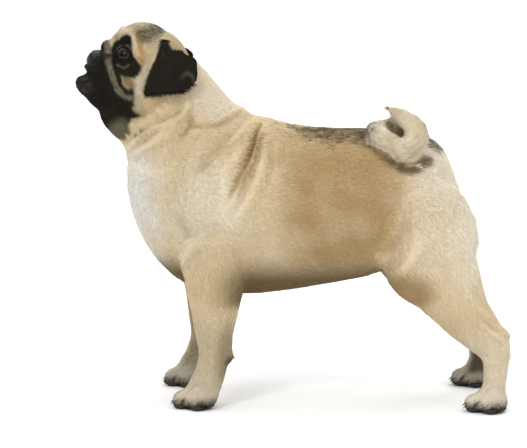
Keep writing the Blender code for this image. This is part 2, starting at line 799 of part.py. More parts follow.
# Splits each fore leg off the body, from the foot up: paw with its claws, forearm, upper arm.
def split_fore_legs(body, cutters):
    nodes = []
    for word, side in SIDES:
        near, far = side_span(side, 0.012)
        cell = block("paw_cell", (-0.16, near, -0.05), (-0.05, far, 0.034))
        paw = split_off(body, "fore_paw_" + word, cell, cutters)
        add_claws(paw, FORE_TOE_TIP + set_back(side, RIGHT_FORE_AHEAD), side * FORE_FOOT_SIDE)
        keep_ahead(paw, (0, 0, 0), (0, 0, 1))
        cell = block("forearm_cell", (-0.16, near, 0.0), (-0.03, far, 0.104))
        forearm = split_off(body, "forearm_" + word, cell, cutters)
        cell = plug("arm_cell", (-0.086, 0.158), (0.043, 0.048), 0.046, side, 0.09, (-0.122, -0.050))
        nodes += [paw, forearm, split_off(body, "upper_arm_" + word, cell, cutters)]
    return nodes


# Splits each hind leg off the body, from the foot up: paw, rear pastern, shank, thigh.
def split_hind_legs(body, cutters):
    nodes = []
    for word, side in SIDES:
        near, far = side_span(side, 0.022)
        cell = block("hind_paw_cell", (0.14, near, -0.05), (0.25, far, 0.026))
        paw = split_off(body, "hind_paw_" + word, cell, cutters)
        add_claws(paw, HIND_TOE_TIP + set_back(side, RIGHT_HIND_AHEAD), side * HIND_FOOT_SIDE)
        keep_ahead(paw, (0, 0, 0), (0, 0, 1))
        cell = block("pastern_cell", (0.14, near, 0.0), (0.25, far, 0.064))
        pastern = split_off(body, "rear_pastern_" + word, cell, cutters)
        cell = block("shank_cell", (0.09, near, 0.05), (0.25, far, 0.114))
        shank = split_off(body, "shank_" + word, cell, cutters)
        cell = plug("thigh_cell", (0.136, 0.176), (0.066, 0.062), 0.026, side, 0.09, (0.104, 0.215))
        nodes += [paw, pastern, shank, split_off(body, "thigh_" + word, cell, cutters)]
    return nodes


def split_nose(head_node, cutters):
    form = bmesh.new()
    ellipsoid(form, on_head(61.5, 0, -21), (0.0100, 0.0145, 0.0105), HEAD_TURN, fineness=3)
    return split_off(head_node, "nose", object_of("nose_cell", form), cutters)


def main():
    clear_scene()
    pug = bpy.data.collections.new("pug")
    cutters = bpy.data.collections.new("cutters")
    for holder in (pug, cutters):
        bpy.context.scene.collection.children.link(holder)

    body = thin_out(body_form(), BODY_TRIANGLES)
    keep_ahead(body, Vector(HEAD_PLANE[0]) - GAP * Vector(HEAD_PLANE[1]),
               -Vector(HEAD_PLANE[1]))
    head_node = thin_out(head_form(), HEAD_TRIANGLES)
    keep_ahead(head_node, HEAD_PLANE[0], HEAD_PLANE[1])

    ears = [ear("ear_" + word, side) for word, side in SIDES]
    eyes = [eye("eye_" + word, -side) for word, side in SIDES]
    tail_root, tail_curl, tail_seats = tail(cutters)
    for leather in ears:
        seat = widened(leather, GAP, cutters)
        combine(head_node, seat, "DIFFERENCE")
        combine(body, seat, "DIFFERENCE")
    for ball in eyes:
        combine(head_node, widened(ball, GAP, cutters), "DIFFERENCE")
    nose = split_nose(head_node, cutters)
    for seat in tail_seats:
        combine(body, seat, "DIFFERENCE")

    legs = split_fore_legs(body, cutters) + split_hind_legs(body, cutters)
    neck_node = split_off(body, "neck", half_space("neck_cell", *NECK_PLANE), cutters)
    chest = split_off(body, "chest", half_space("chest_cell", (0.015, 0, 0), (-1, 0, 0)), cutters)
    loin = split_off(body, "loin", half_space("loin_cell", (0.085, 0, 0), (-1, 0, 0)), cutters)
    body.name = "rump"

    finish(nose, "nose_leather")
    for made in ears + [head_node]:
        finish(made, "black_mask" if made in ears else "fawn_coat")
    for made in eyes:
        finish(made, "eyeball")
    nodes = [neck_node, chest, loin, body, tail_root, tail_curl, *legs]
    for made in nodes:
        finish(made, "fawn_coat")
    for made in [*nodes, head_node, nose, *ears, *eyes]:
        bpy.context.scene.collection.objects.unlink(made)
        pug.objects.link(made)


if __name__ == "__main__":
    main()
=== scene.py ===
import math

import bmesh
import bpy
import numpy as np
from mathutils import Matrix, Vector
from mathutils.bvhtree import BVHTree
from mathutils.kdtree import KDTree


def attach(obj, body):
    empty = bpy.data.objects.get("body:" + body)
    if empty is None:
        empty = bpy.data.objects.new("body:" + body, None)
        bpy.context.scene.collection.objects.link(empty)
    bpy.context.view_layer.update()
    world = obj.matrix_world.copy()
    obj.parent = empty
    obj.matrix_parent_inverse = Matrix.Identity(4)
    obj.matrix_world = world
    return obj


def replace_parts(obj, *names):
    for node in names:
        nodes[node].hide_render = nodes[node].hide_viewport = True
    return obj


# A standing pug, life size. It faces -X, its left side is towards -Y, and the floor is Z = 0.
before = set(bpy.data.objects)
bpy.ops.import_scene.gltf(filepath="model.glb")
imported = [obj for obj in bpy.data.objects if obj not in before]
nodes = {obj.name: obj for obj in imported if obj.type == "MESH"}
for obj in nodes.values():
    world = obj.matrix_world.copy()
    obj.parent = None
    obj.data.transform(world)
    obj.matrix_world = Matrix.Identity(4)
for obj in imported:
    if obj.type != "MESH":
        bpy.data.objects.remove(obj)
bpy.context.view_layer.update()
mm = 0.001


# sRGB hex to the linear colour that the shaders take
def linear(code):
    parts = [int(code[k:k + 2], 16) / 255 for k in (0, 2, 4)]
    return tuple(p / 12.92 if p <= 0.04045 else ((p + 0.055) / 1.055) ** 2.4 for p in parts)


# adds a shader node, sets its properties or inputs, and links other sockets to its inputs
def addNode(tree, kind, settings=None, links=None):
    node = tree.nodes.new("ShaderNode" + kind)
    for name, value in (settings or {}).items():
        if hasattr(node, name):
            setattr(node, name, value)
        else:
            node.inputs[name].default_value = value
    for name, source in (links or {}).items():
        tree.links.new(source, node.inputs[name])
    return node


def newMaterial(name):
    material = bpy.data.materials.new(name)
    material.use_nodes = True
    return material, material.node_tree, material.node_tree.nodes["Principled BSDF"]


def fade(values, low, high):
    t = np.clip((values - low) / (high - low), 0, 1)
    return t * t * (3 - 2 * t)


def newObject(name, data):
    made = bpy.data.objects.new(name, data)
    bpy.context.scene.collection.objects.link(made)
    return made


def toMesh(bm, name):
    mesh = bpy.data.meshes.new(name)
    bm.to_mesh(mesh)
    bm.free()
    return mesh


# where a camera or lamp stands and looks
def looking(place, aim, roll=0.0):
    away = (Vector(place) - Vector(aim)).normalized()
    turn = away.to_track_quat("Z", "Y").to_matrix() @ Matrix.Rotation(math.radians(roll), 3, "Z")
    return Matrix.Translation(place) @ turn.to_4x4()


# The camera stands where the photographer stood, a little above the dog and well away.
camera = {"place": (-0.24229, -3.01296, 0.60648), "aim": (-0.0316, 0.0, 0.182), "roll": 1.1,
          "lens": 201.3, "sensor": 36.0, "nearest": 0.05, "farthest": 200.0}
eyepiece = bpy.data.cameras.new("camera")
eyepiece.lens = camera["lens"]
eyepiece.sensor_width = camera["sensor"]
eyepiece.sensor_fit = "HORIZONTAL"
eyepiece.clip_start = camera["nearest"]
eyepiece.clip_end = camera["farthest"]
cameraObject = newObject("camera", eyepiece)
cameraObject.matrix_world = looking(camera["place"], camera["aim"], camera["roll"])
bpy.context.scene.camera = cameraObject
bpy.context.scene.view_settings.view_transform = "Standard"
print("camera set")

# a pale seamless floor under soft light
studio = {"floorHalf": 30.0, "floorColour": "fafafa", "skyLow": 0.42, "skyHigh": 1.36}
bm = bmesh.new()
bmesh.ops.create_grid(bm, x_segments=1, y_segments=1, size=studio["floorHalf"])
floorMesh = toMesh(bm, "floor")
floor = newObject("floor", floorMesh)
floorPaint, tree, shader = newMaterial("mattStudioPaper")    # matt card: no gloss, even tone
shader.inputs["Base Color"].default_value = (*linear(studio["floorColour"]), 1)
shader.inputs["Roughness"].default_value = 0.95
floorMesh.materials.append(floorPaint)

# white light from all over, brighter overhead than at the sides
world = bpy.data.worlds.new("studio")
world.use_nodes = True
sky = world.node_tree
way = addNode(sky, "TexCoord")
parts = addNode(sky, "SeparateXYZ", links={"Vector": way.outputs["Generated"]})
rise = addNode(sky, "MapRange", {"From Min": 0.05, "From Max": 0.75, "To Min": studio["skyLow"],
                                 "To Max": studio["skyHigh"]}, {"Value": parts.outputs["Z"]})
sky.links.new(rise.outputs["Result"], sky.nodes["Background"].inputs["Strength"])
sky.nodes["Background"].inputs["Color"].default_value = (1, 1, 1, 1)
bpy.context.scene.world = world

# name: place, aim, size in metres, power in watts
lamps = {
    "keyLight": ((-1.3, -2.6, 2.6), (0, 0, 0.2), 0.8, 40),
    "fillLight": ((1.9, -2.4, 1.0), (0, 0, 0.2), 2.0, 10),
    "rimLight": ((0.9, 2.0, 2.2), (0, 0, 0.25), 1.4, 16),
}
for name, (place, aim, size, power) in lamps.items():
    light = bpy.data.lights.new(name, "AREA")
    light.shape = "DISK"
    light.size = size
    light.energy = power
    newObject(name, light).matrix_world = looking(place, aim)
print("studio lit")

# the head's own frame, in millimetres: forward along the face, left, and up from the middle
headPlace = {"centre": np.array((-0.150, 0.0, 0.335)), "pitch": math.radians(36)}
c, s = math.cos(headPlace["pitch"]), math.sin(headPlace["pitch"])
headAhead, headAbove = np.array((-c, 0, s)), np.array((s, 0, c))


def onHead(forward, left, up):
    return headPlace["centre"] + (
        headAhead * forward + np.array((0, -left, 0)) + headAbove * up) * mm


def headView(points):
    away = (points - headPlace["centre"]) / mm
    return away @ headAhead, np.abs(away[:, 1]), away @ headAbove


def lengths(vectors):
    return np.linalg.norm(vectors, axis=-1)


def unit(vectors):
    return vectors / np.maximum(lengths(vectors), 1e-9)[..., None]


# mesh helpers: points in and out, smoothing, smooth lines
def pointsOf(mesh, field="co"):
    values = np.empty(len(mesh.vertices) * 3)
    mesh.vertices.foreach_get(field, values)
    return values.reshape(-1, 3)


def setPoints(mesh, points):
    mesh.vertices.foreach_set("co", points.ravel())
    mesh.update()


def paintPoints(mesh, name, colours):
    layer = mesh.color_attributes.new(name, "FLOAT_COLOR", "POINT")
    rgba = np.column_stack([colours, np.ones(len(colours))])
    layer.data.foreach_set("color", rgba.ravel())


def neighbours(mesh):
    ends = np.empty(len(mesh.edges) * 2, int)
    mesh.edges.foreach_get("vertices", ends)
    return ends.reshape(-1, 2).T


# the mean of each vertex's neighbours, in each column of values
def meanAround(ends, values):
    a, b = ends
    values = values.reshape(len(values), -1)
    count = np.bincount(a, minlength=len(values)) + np.bincount(b, minlength=len(values))
    total = [np.bincount(a, column[b], len(values)) + np.bincount(b, column[a], len(values))
             for column in values.T]
    return np.array(total).T / np.maximum(count, 1)[:, None]


def spread(ends, values, rounds):
    for _ in range(rounds):
        values = meanAround(ends, values)
    return values


# irons out the facets and keeps the volume: each round draws in, then lets out a little more
def iron(mesh, rounds, share=None):
    ends = neighbours(mesh)
    points = pointsOf(mesh)
    share = 1.0 if share is None else share[:, None]
    for k in range(2 * rounds):
        step = 0.50 if k % 2 == 0 else -0.53
        points += step * share * (meanAround(ends, points) - points)
    setPoints(mesh, points)


def smoothLine(points, steps):
    points = [np.array(point, float) for point in points]
    ends = [2 * points[0] - points[1], *points, 2 * points[-1] - points[-2]]
    line = []
    for a, b, c, d in zip(ends, ends[1:], ends[2:], ends[3:]):
        for k in range(steps):
            t = k / steps
            line.append(0.5 * (2 * b + (c - a) * t + (2 * a - 5 * b + 4 * c - d) * t * t
                               + (3 * b - a - 3 * c + d) * t ** 3))
    return np.array([*line, points[-1]])


# the same line with its points evenly spaced
def evenLine(points, spacing):
    line = smoothLine(points, 12)
    along = np.append(0, np.cumsum(lengths(np.diff(line, axis=0))))
    stops = np.linspace(0, along[-1], int(along[-1] / spacing) + 2)
    return np.stack([np.interp(stops, along, column) for column in line.T], axis=1)


def finishMesh(bm, name):
    bmesh.ops.recalc_face_normals(bm, faces=bm.faces)
    mesh = toMesh(bm, name)
    mesh.shade_smooth()
    return newObject(name, mesh)


# One skin over all the flesh. The solids are let out until they meet, fused, ironed, and drawn
# in by the depth of the coat, so that no seam is left.
skinPlan = {
    "letOut": 0.0006, "grain": 0.0025, "rounds": 10,
    "coatDepth": {"trunk": 0.0012, "face": 0.0006, "foot": 0.0006, "ear": 0.0008},
    "softness": {"face": 0.45, "thin": 0.6},    # their share of the ironing; thin: feet and ears
    "faceFrom": 2,    # the finer mesh of the face starts here, mm forward in the head's frame
    "lidReach": 19,    # the finest lies round each eye, as many mm from its middle
    "underBall": 0.0007,    # how far a socket's filling stands out round the ball
    "underNose": ((51.5, 0, -21), (0.0100, 0.0140, 0.0110)),
}
eyes = {"place": (33.5, 30.0, 2.0), "radius": 0.0105, "slant": math.radians(50)}
boneless = ("eye_left", "eye_right", "nose")
flesh = [name for name in nodes if name not in boneless]


def sphereInto(bm, centre, radii, subdivisions=4):
    place = Matrix.Translation(centre) @ Matrix.Rotation(headPlace["pitch"], 4, "Y")
    bmesh.ops.create_icosphere(bm, subdivisions=subdivisions, radius=1,
                               matrix=place @ Matrix.Diagonal((*radii, 1)))


def fleshMesh():
    bm = bmesh.new()
    for name in flesh:
        part = bmesh.new()
        part.from_mesh(nodes[name].data)
        bmesh.ops.remove_doubles(part, verts=part.verts, dist=0.00001)
        part.normal_update()
        for vert in part.verts:
            vert.co += vert.normal * skinPlan["letOut"]
        mesh = toMesh(part, name + "Copy")
        bm.from_mesh(mesh)
        bpy.data.meshes.remove(mesh)
    forward, left, up = eyes["place"]
    radii = [eyes["radius"] + skinPlan["underBall"]] * 3
    for side in (1, -1):    # the balls fill the sockets, which the lids then cover
        sphereInto(bm, onHead(forward, side * left, up), radii)
    place, radii = skinPlan["underNose"]
    sphereInto(bm, onHead(*place), radii)
    return toMesh(bm, "flesh")


skin = newObject("skin", fleshMesh())
fuse = skin.modifiers.new("fuse", "REMESH")
fuse.mode = "VOXEL"
fuse.voxel_size = skinPlan["grain"]
fused = bpy.data.meshes.new_from_object(skin.evaluated_get(bpy.context.evaluated_depsgraph_get()))
skin.modifiers.clear()
skin.data = fused
print("skin fused,", len(fused.vertices), "points")

# which part of the body each point of the skin lies nearest to
names = list(nodes)
nodePoints = [(vert.co, k) for k, name in enumerate(names) for vert in nodes[name].data.vertices]
nearestNode = KDTree(len(nodePoints))
for place, k in nodePoints:
    nearestNode.insert(place, k)
nearestNode.balance()


def labelsOf(points):
    return np.array([nearestNode.find(point)[1] for point in points])


headWords = ("head", "nose", "eye")


def named(*words):
    wanted = [k for k, name in enumerate(names) if name.startswith(words)]
    return np.isin(labels, wanted)


mesh = skin.data
labels = labelsOf(pointsOf(mesh))
ends = neighbours(mesh)
forward, left, up = headView(pointsOf(mesh))
isHead = named(*headWords) & (forward > -40)
isEar = named("ear")
isFoot = named("fore_paw", "hind_paw")
soft = np.where(isHead & (forward > 10), skinPlan["softness"]["face"], 1.0)
soft = np.where(isFoot | isEar, skinPlan["softness"]["thin"], soft)
iron(mesh, skinPlan["rounds"], soft)
depth = np.full(len(soft), skinPlan["coatDepth"]["trunk"])
for word, here in (("face", isHead & (forward > 5)), ("foot", isFoot), ("ear", isEar)):
    depth[here] = skinPlan["coatDepth"][word]
depth = spread(ends, depth, 6)[:, 0]
setPoints(mesh, pointsOf(mesh) - pointsOf(mesh, "normal") * (depth + skinPlan["letOut"])[:, None])


# splits each edge of the chosen part of the skin, so that it can take finer forms
def refine(mesh, chosen):
    bm = bmesh.new()
    bm.from_mesh(mesh)
    bm.verts.ensure_lookup_table()
    for face in bm.faces:
        face.tag = all(chosen[vert.index] for vert in face.verts)
    edges = [edge for edge in bm.edges if any(face.tag for face in edge.link_faces)]
    bmesh.ops.subdivide_edges(bm, edges=edges, cuts=1, use_grid_fill=True)
    bmesh.ops.triangulate(bm, faces=[face for face in bm.faces if len(face.verts) > 4])
    bm.to_mesh(mesh)
    bm.free()


refine(mesh, isHead & (forward > skinPlan["faceFrom"]))
forward, left, up = headView(pointsOf(mesh))
fromEye = np.stack([forward, left, up], axis=1) - eyes["place"]
refine(mesh, lengths(fromEye) < skinPlan["lidReach"])
iron(mesh, 2)
print("face refined,", len(mesh.vertices), "points")


# raises the skin along lines, or sinks it where the height is negative
def stroke(mesh, tree, lines, width, height):
    points = pointsOf(mesh)
    normals = pointsOf(mesh, "normal")
    for line in lines:
        line = evenLine(line, 0.3 * width * mm)
        line = np.array([tree.find_nearest(point)[0] for point in line])
        low, high = line.min(0) - 3 * width * mm, line.max(0) + 3 * width * mm
        near = np.flatnonzero(((points > low) & (points < high)).all(1))
        away = lengths(points[near, None] - line[None])
        along = np.linspace(0, 1, len(line))[away.argmin(1)]
        size = np.sin(np.pi * np.clip(along, 0.04, 0.96)) ** 0.6    # it dies away to both ends
        size = size * height * mm * np.exp(-(away.min(1) / (width * mm)) ** 2)
        if np.ptp(line[:, 1]) < 0.0005 and abs(line[0, 1]) < 0.001:
            size = size / 2    # a line on the middle is passed twice
        points[near] += normals[near] * size[:, None]
    setPoints(mesh, points)


# draws each fold on both sides, and returns the skin as it was before
def drawFolds(folds, placeOf):
    tree = BVHTree.FromObject(skin, bpy.context.evaluated_depsgraph_get())
    for path, width, height in folds:
        lines = [[placeOf(a, side * left, b) for a, left, b in path] for side in (1, -1)]
        stroke(skin.data, tree, lines, width, height)
    return tree


def onBody(x, left, z):
    return np.array((x, -left, z)) * mm


# path (forward, left, up), width, height, in millimetres
faceFolds = (
    # the roll that runs from over the nose round the muzzle, and its two furrows
    (((60, 0, -2), (57, 11, -3), (53, 18, -6), (45, 30, -13), (36, 42, -21), (25, 49, -27),
      (13, 53, -29)), 3.4, 1.7),
    (((56, 8, 6), (52, 17, 2), (50, 21, -3)), 1.8, -1.2),
    (((60, 0, -10), (57, 12, -11), (52, 21, -15), (44, 31, -22), (33, 42, -29), (22, 50, -33)),
     1.8, -2.2),
    (((30, 46, -18), (22, 51, -21), (14, 54, -22)), 2.2, -0.9),
    # furrows of the forehead and of the temple
    (((57, 0, 13), (55, 0, 21), (50, 0, 29)), 2.4, -1.5),
    (((53, 14, 19), (47, 22, 25), (40, 28, 28)), 2.4, -1.1),
    (((48, 5, 29), (43, 15, 32), (36, 24, 33)), 2.8, -0.9),
    (((33, 38, 23), (26, 42, 15), (19, 47, 9), (14, 51, 2)), 2.4, -1.2),
    (((29, 40, 27), (22, 44, 18), (15, 49, 10)), 3.2, 1.0),
    # the line of the mouth, with the lip over it
    (((60, 0, -37.5), (56, 10, -38), (50, 22, -40), (41, 32, -44), (30, 39, -46.5), (19, 43, -46),
      (11, 46, -42)), 1.4, -2.6),
    (((56, 6, -34), (52, 16, -35), (45, 28, -37), (36, 37, -40), (26, 43, -42)), 2.4, 0.8),
    # the split of the upper lip and a fold from the corner of the mouth
    (((61, 0, -31), (60, 0, -34), (58, 0, -37)), 1.0, -1.4),
    (((12, 50, -37), (4, 51, -42), (-3, 48, -48), (-8, 43, -54)), 2.8, -1.6),
    (((18, 52, -33), (8, 54, -35), (0, 53, -36)), 3.2, 0.9),
)
drawFolds(faceFolds, onHead)

# the same on body and ears: path (x, left, z), width, height
bodyFolds = (
    (((-176, 20, 266), (-157, 46, 285), (-135, 51, 295), (-121, 48, 305), (-117, 50, 318)),
     3.6, -2.0),
    (((-168, 30, 266), (-152, 44, 280), (-138, 50, 290)), 3.4, 1.2),
    (((-172, 22, 258), (-157, 42, 271), (-145, 49, 284), (-133, 51, 296)), 3.2, -1.4),
    (((-61, 16, 304), (-90, 49, 294), (-109, 56, 287)), 4.5, -1.6),
    (((-52, 25, 295), (-65, 48, 284), (-80, 61, 271)), 4.5, -2.0),
    (((-37, 24, 291), (-44, 44, 281), (-51, 65, 261), (-62, 72, 240), (-73, 78, 214)), 4.5, -3.2),
    (((-48, 30, 290), (-58, 55, 272), (-72, 72, 238)), 8, 2.0),
    (((-26, 45, 280), (-28, 62, 262), (-29, 73, 238)), 5, -1.6),
    (((-34, 40, 283), (-36, 60, 264), (-40, 72, 244)), 5, 1.2),
    # elbow, brisket, flank, and the hollow before the point of the hock
    (((-64, 78, 166), (-54, 74, 146), (-51, 64, 126)), 6, -2.4),
    (((-128, 40, 150), (-112, 60, 160), (-104, 74, 182)), 8, -1.6),
    (((84, 60, 138), (104, 70, 150), (116, 76, 176), (112, 78, 206)), 8, -1.8),
    (((184, 76, 99), (193, 77, 89), (204, 76, 80)), 3.4, -2.0),
    (((172, 78, 116), (182, 78, 104), (190, 77, 95)), 5, 1.0),
    # ear: the rim of its front fold, the groove behind it, and a curl in the lower rear part
    (((-139, 44, 376), (-143.5, 51, 364), (-147, 55, 350), (-153, 59, 336), (-157, 60, 324)),
     3.0, 0.8),
    (((-134, 47, 374), (-138, 53, 362), (-141, 58, 350), (-146, 61, 338)), 3.2, -0.7),
    (((-121, 58, 329), (-116, 58, 338), (-110, 55, 342), (-104, 50, 338)), 3.0, 0.9),
    (((-117, 58, 329), (-112, 56, 334), (-107, 53, 332)), 2.8, -0.8),
)
tree = drawFolds(bodyFolds, onBody)

# where the toes of the left feet end, how far the right feet stand ahead of them, and each
# toe's place: out from the middle of the foot, and back from the longest
feet = {"fore": {"tip": -127.0, "side": 60, "ahead": 4.5},
        "hind": {"tip": 172.0, "side": 70, "ahead": -4.5}}
toes = ((-15, 16), (-5.3, 0), (5.3, 0), (15, 16))
# the grooves between the toes, placed in the same way, and their course: back, and up
grooves = ((-10.3, 9), (0, 1), (10.3, 9))
grooveLine = {"course": ((0, 5), (3, 14), (11, 21), (20, 25)), "width": 1.9, "height": -1.3}
for foot in feet.values():
    for side in (-1, 1):
        tip = foot["tip"] - foot["ahead"] * (side > 0)
        for out, setBack in grooves:
            line = [np.array((tip + setBack + run, side * foot["side"] + out, high)) * mm
                    for run, high in grooveLine["course"]]
            stroke(skin.data, tree, [line] * 2, grooveLine["width"], grooveLine["height"])


# Lays the skin round each eye: sunk under the eyeball inside the opening, rolled into lids at its
# rim, and faded into the face beyond.
lids = {"halfWide": math.radians(46), "halfHigh": math.radians(36), "halfLow": math.radians(32),
        "rise": 0.0013, "under": 0.0014, "tilt": math.radians(-8),
        "fading": (1.90, 1.38), "darkRim": (1.16, 1.02)}    # shares of the way to the rim


def eyeFrame():
    axis = headAhead * math.cos(eyes["slant"]) + np.array((0, -1, 0)) * math.sin(eyes["slant"])
    aside = np.cross(headAbove, axis)
    c, s = math.cos(lids["tilt"]), math.sin(lids["tilt"])
    return axis, headAbove * c + aside * s, aside * c - headAbove * s


def carveLids(mesh):
    points = pointsOf(mesh)
    axis, above, aside = eyeFrame()
    radius = eyes["radius"]
    opening = np.zeros(len(points))
    for side in (1, -1):
        flip = np.array((1, side, 1))
        away = points * flip - onHead(*eyes["place"])
        reach = lengths(away)
        near = reach < 2.3 * radius
        angle = np.arccos(np.clip(away @ axis / reach, -1, 1))
        high, wide = away @ above, away @ aside
        turn = np.arctan2(high, wide)
        tall = np.where(high > 0, lids["halfHigh"], lids["halfLow"])
        rim = 1 / np.hypot(np.cos(turn) / lids["halfWide"], np.sin(turn) / tall)
        off = angle / rim
        under, lid = radius - lids["under"], radius + lids["rise"]
        # the skin's distance from the eye's middle, from under the ball to over the lid
        level = np.interp(off, (0, 0.88, 0.99, 1.08, 1.20, 1.34, 1.46, 1.60),
                          (under, under, radius + 0.0003, radius + 0.0011, lid, lid - 0.0004,
                           lid - 0.0007, lid))
        share = fade(off, *lids["fading"]) * near
        wanted = reach + (level - reach) * share
        points = (away * np.where(near, wanted / reach, 1)[:, None] + onHead(*eyes["place"])) * flip
        opening = np.maximum(opening, near * fade(off, *lids["darkRim"]))
    setPoints(mesh, points)
    return opening


opening = carveLids(skin.data)
iron(skin.data, 1)
skin.data.shade_smooth()
print("face carved")


# Markings, in soft regions. Places are millimetres: (forward, left, up) on the head, and
# (x, left, z) on the body, both the same on the two sides.
coatColours = {
    "cream": "decaa6", "fawn": "cfb68a", "tan": "b89b6f", "ochre": "a68758", "pale": "ece1cb",
    "grey": "b8ac92", "white": "e8e4da", "black": "0d0c0b", "charcoal": "2c2a25",
    "olive": "5c5847", "drab": "867f68", "umber": "6b5838", "sooty": "4a4434",
}
coatColours = {word: np.array(linear(code)) for word, code in coatColours.items()}


# a smooth random field, mostly from -1 to 1, with swells as wide as size
def wobble(points, size, seed):
    rng = np.random.default_rng(seed)
    total = 0
    for _ in range(7):
        direction = rng.normal(size=3)
        direction *= 2 * np.pi / size * (0.6 + 0.8 * rng.random()) / np.linalg.norm(direction)
        total = total + np.sin(points @ direction + rng.random() * 6.3)
    return total / 4


# 1 inside an ellipsoid, fading to 0 round its rim
def blob(places, centre, radii, rim=0.4):
    away = lengths((places - centre) / radii)
    return fade(away, 1 + rim, 1 - rim)


# 1 along a path, fading to 0 at the width, which may narrow to both ends
def trail(places, path, width, ends=1.0):
    line = evenLine(path, 0.3 * width)
    low, high = line.min(0) - width, line.max(0) + width
    near = np.flatnonzero(((places > low) & (places < high)).all(1))
    strength = np.zeros(len(places))
    if len(near):
        away = lengths(places[near, None] - line[None])
        along = away.argmin(1) / (len(line) - 1)
        reach = width * (ends + (1 - ends) * np.sin(np.pi * along) ** 0.7)
        strength[near] = fade(away.min(1) / reach, 1.0, 0.2)
    return strength


# 1 inside an outline in the side view of the head (forward, up), fading over its rim
def patch(places, outline, soft):
    spots = places[:, [0, 2]]
    corners = np.array(outline, float)
    inside = np.zeros(len(spots), bool)
    nearest = np.full(len(spots), 1e6)
    for a, b in zip(corners, np.roll(corners, -1, axis=0)):
        t = np.clip((spots - a) @ (b - a) / ((b - a) @ (b - a)), 0, 1)
        nearest = np.minimum(nearest, lengths(spots - a - t[:, None] * (b - a)))
        spans = (a[1] > spots[:, 1]) != (b[1] > spots[:, 1])
        rise = b[1] - a[1] if b[1] != a[1] else 1.0
        inside ^= spans & (spots[:, 0] < a[0] + (spots[:, 1] - a[1]) * (b[0] - a[0]) / rise)
    return fade(np.where(inside, nearest, -nearest), -soft, soft)


# 1 along a path in that side view
def streak(places, path, width):
    return trail(places * (1, 0, 1), [(f, 0, u) for f, u in path], width)


# the dark patch round each eye, the mask over the muzzle, and the thumb mark on the crown
goggle = ((46, 21), (42.5, 21), (37, 15), (32, 10), (27, 6.5), (22.5, 5), (18, 4.5), (15.3, 1),
          (15, -4), (16.6, -8.6), (18.6, -12.6), (24, -15.5), (30, -16.4), (36, -15), (42, -11),
          (47, -7), (50.6, -2), (51.5, 2), (51, 7), (50.3, 10.5), (49.3, 15), (48, 19))
mask = ((28, -16), (21, -21.5), (16, -22), (12.6, -18.5), (9.2, -20.2), (3.7, -27.5), (0, -31),
        (0, -36), (-5, -37.5), (-9, -36.4), (-12.7, -35.5), (-10, -39.5), (-6.8, -43.7),
        (-6.2, -48), (-8.2, -51.5), (-11.7, -55.3), (-14, -60), (-13.3, -64.2), (-13, -70),
        (-18, -95), (90, -95), (90, 3.5), (60, 3), (56, 1), (50, -3), (44, -8), (36, -13))
thumbMark = ((43, 28), (38, 33), (32, 43), (26, 60), (16, 60), (21, 34), (25, 27), (30, 23),
             (37, 23))

# the black flap of the ear, as seen from the side: (x, z) on the body
earFlap = ((-143.5, 379), (-145.5, 365), (-147.5, 357), (-151.5, 349), (-155.5, 341), (-158.5, 333),
           (-160.5, 325), (-160, 317), (-152.5, 318), (-142, 319), (-132, 320), (-122, 321),
           (-113, 325), (-104, 334), (-99, 346), (-103, 359), (-112.9, 364.7), (-122.9, 365.6),
           (-131, 366.5), (-135.1, 371.5), (-129.2, 379.6), (-136, 384))


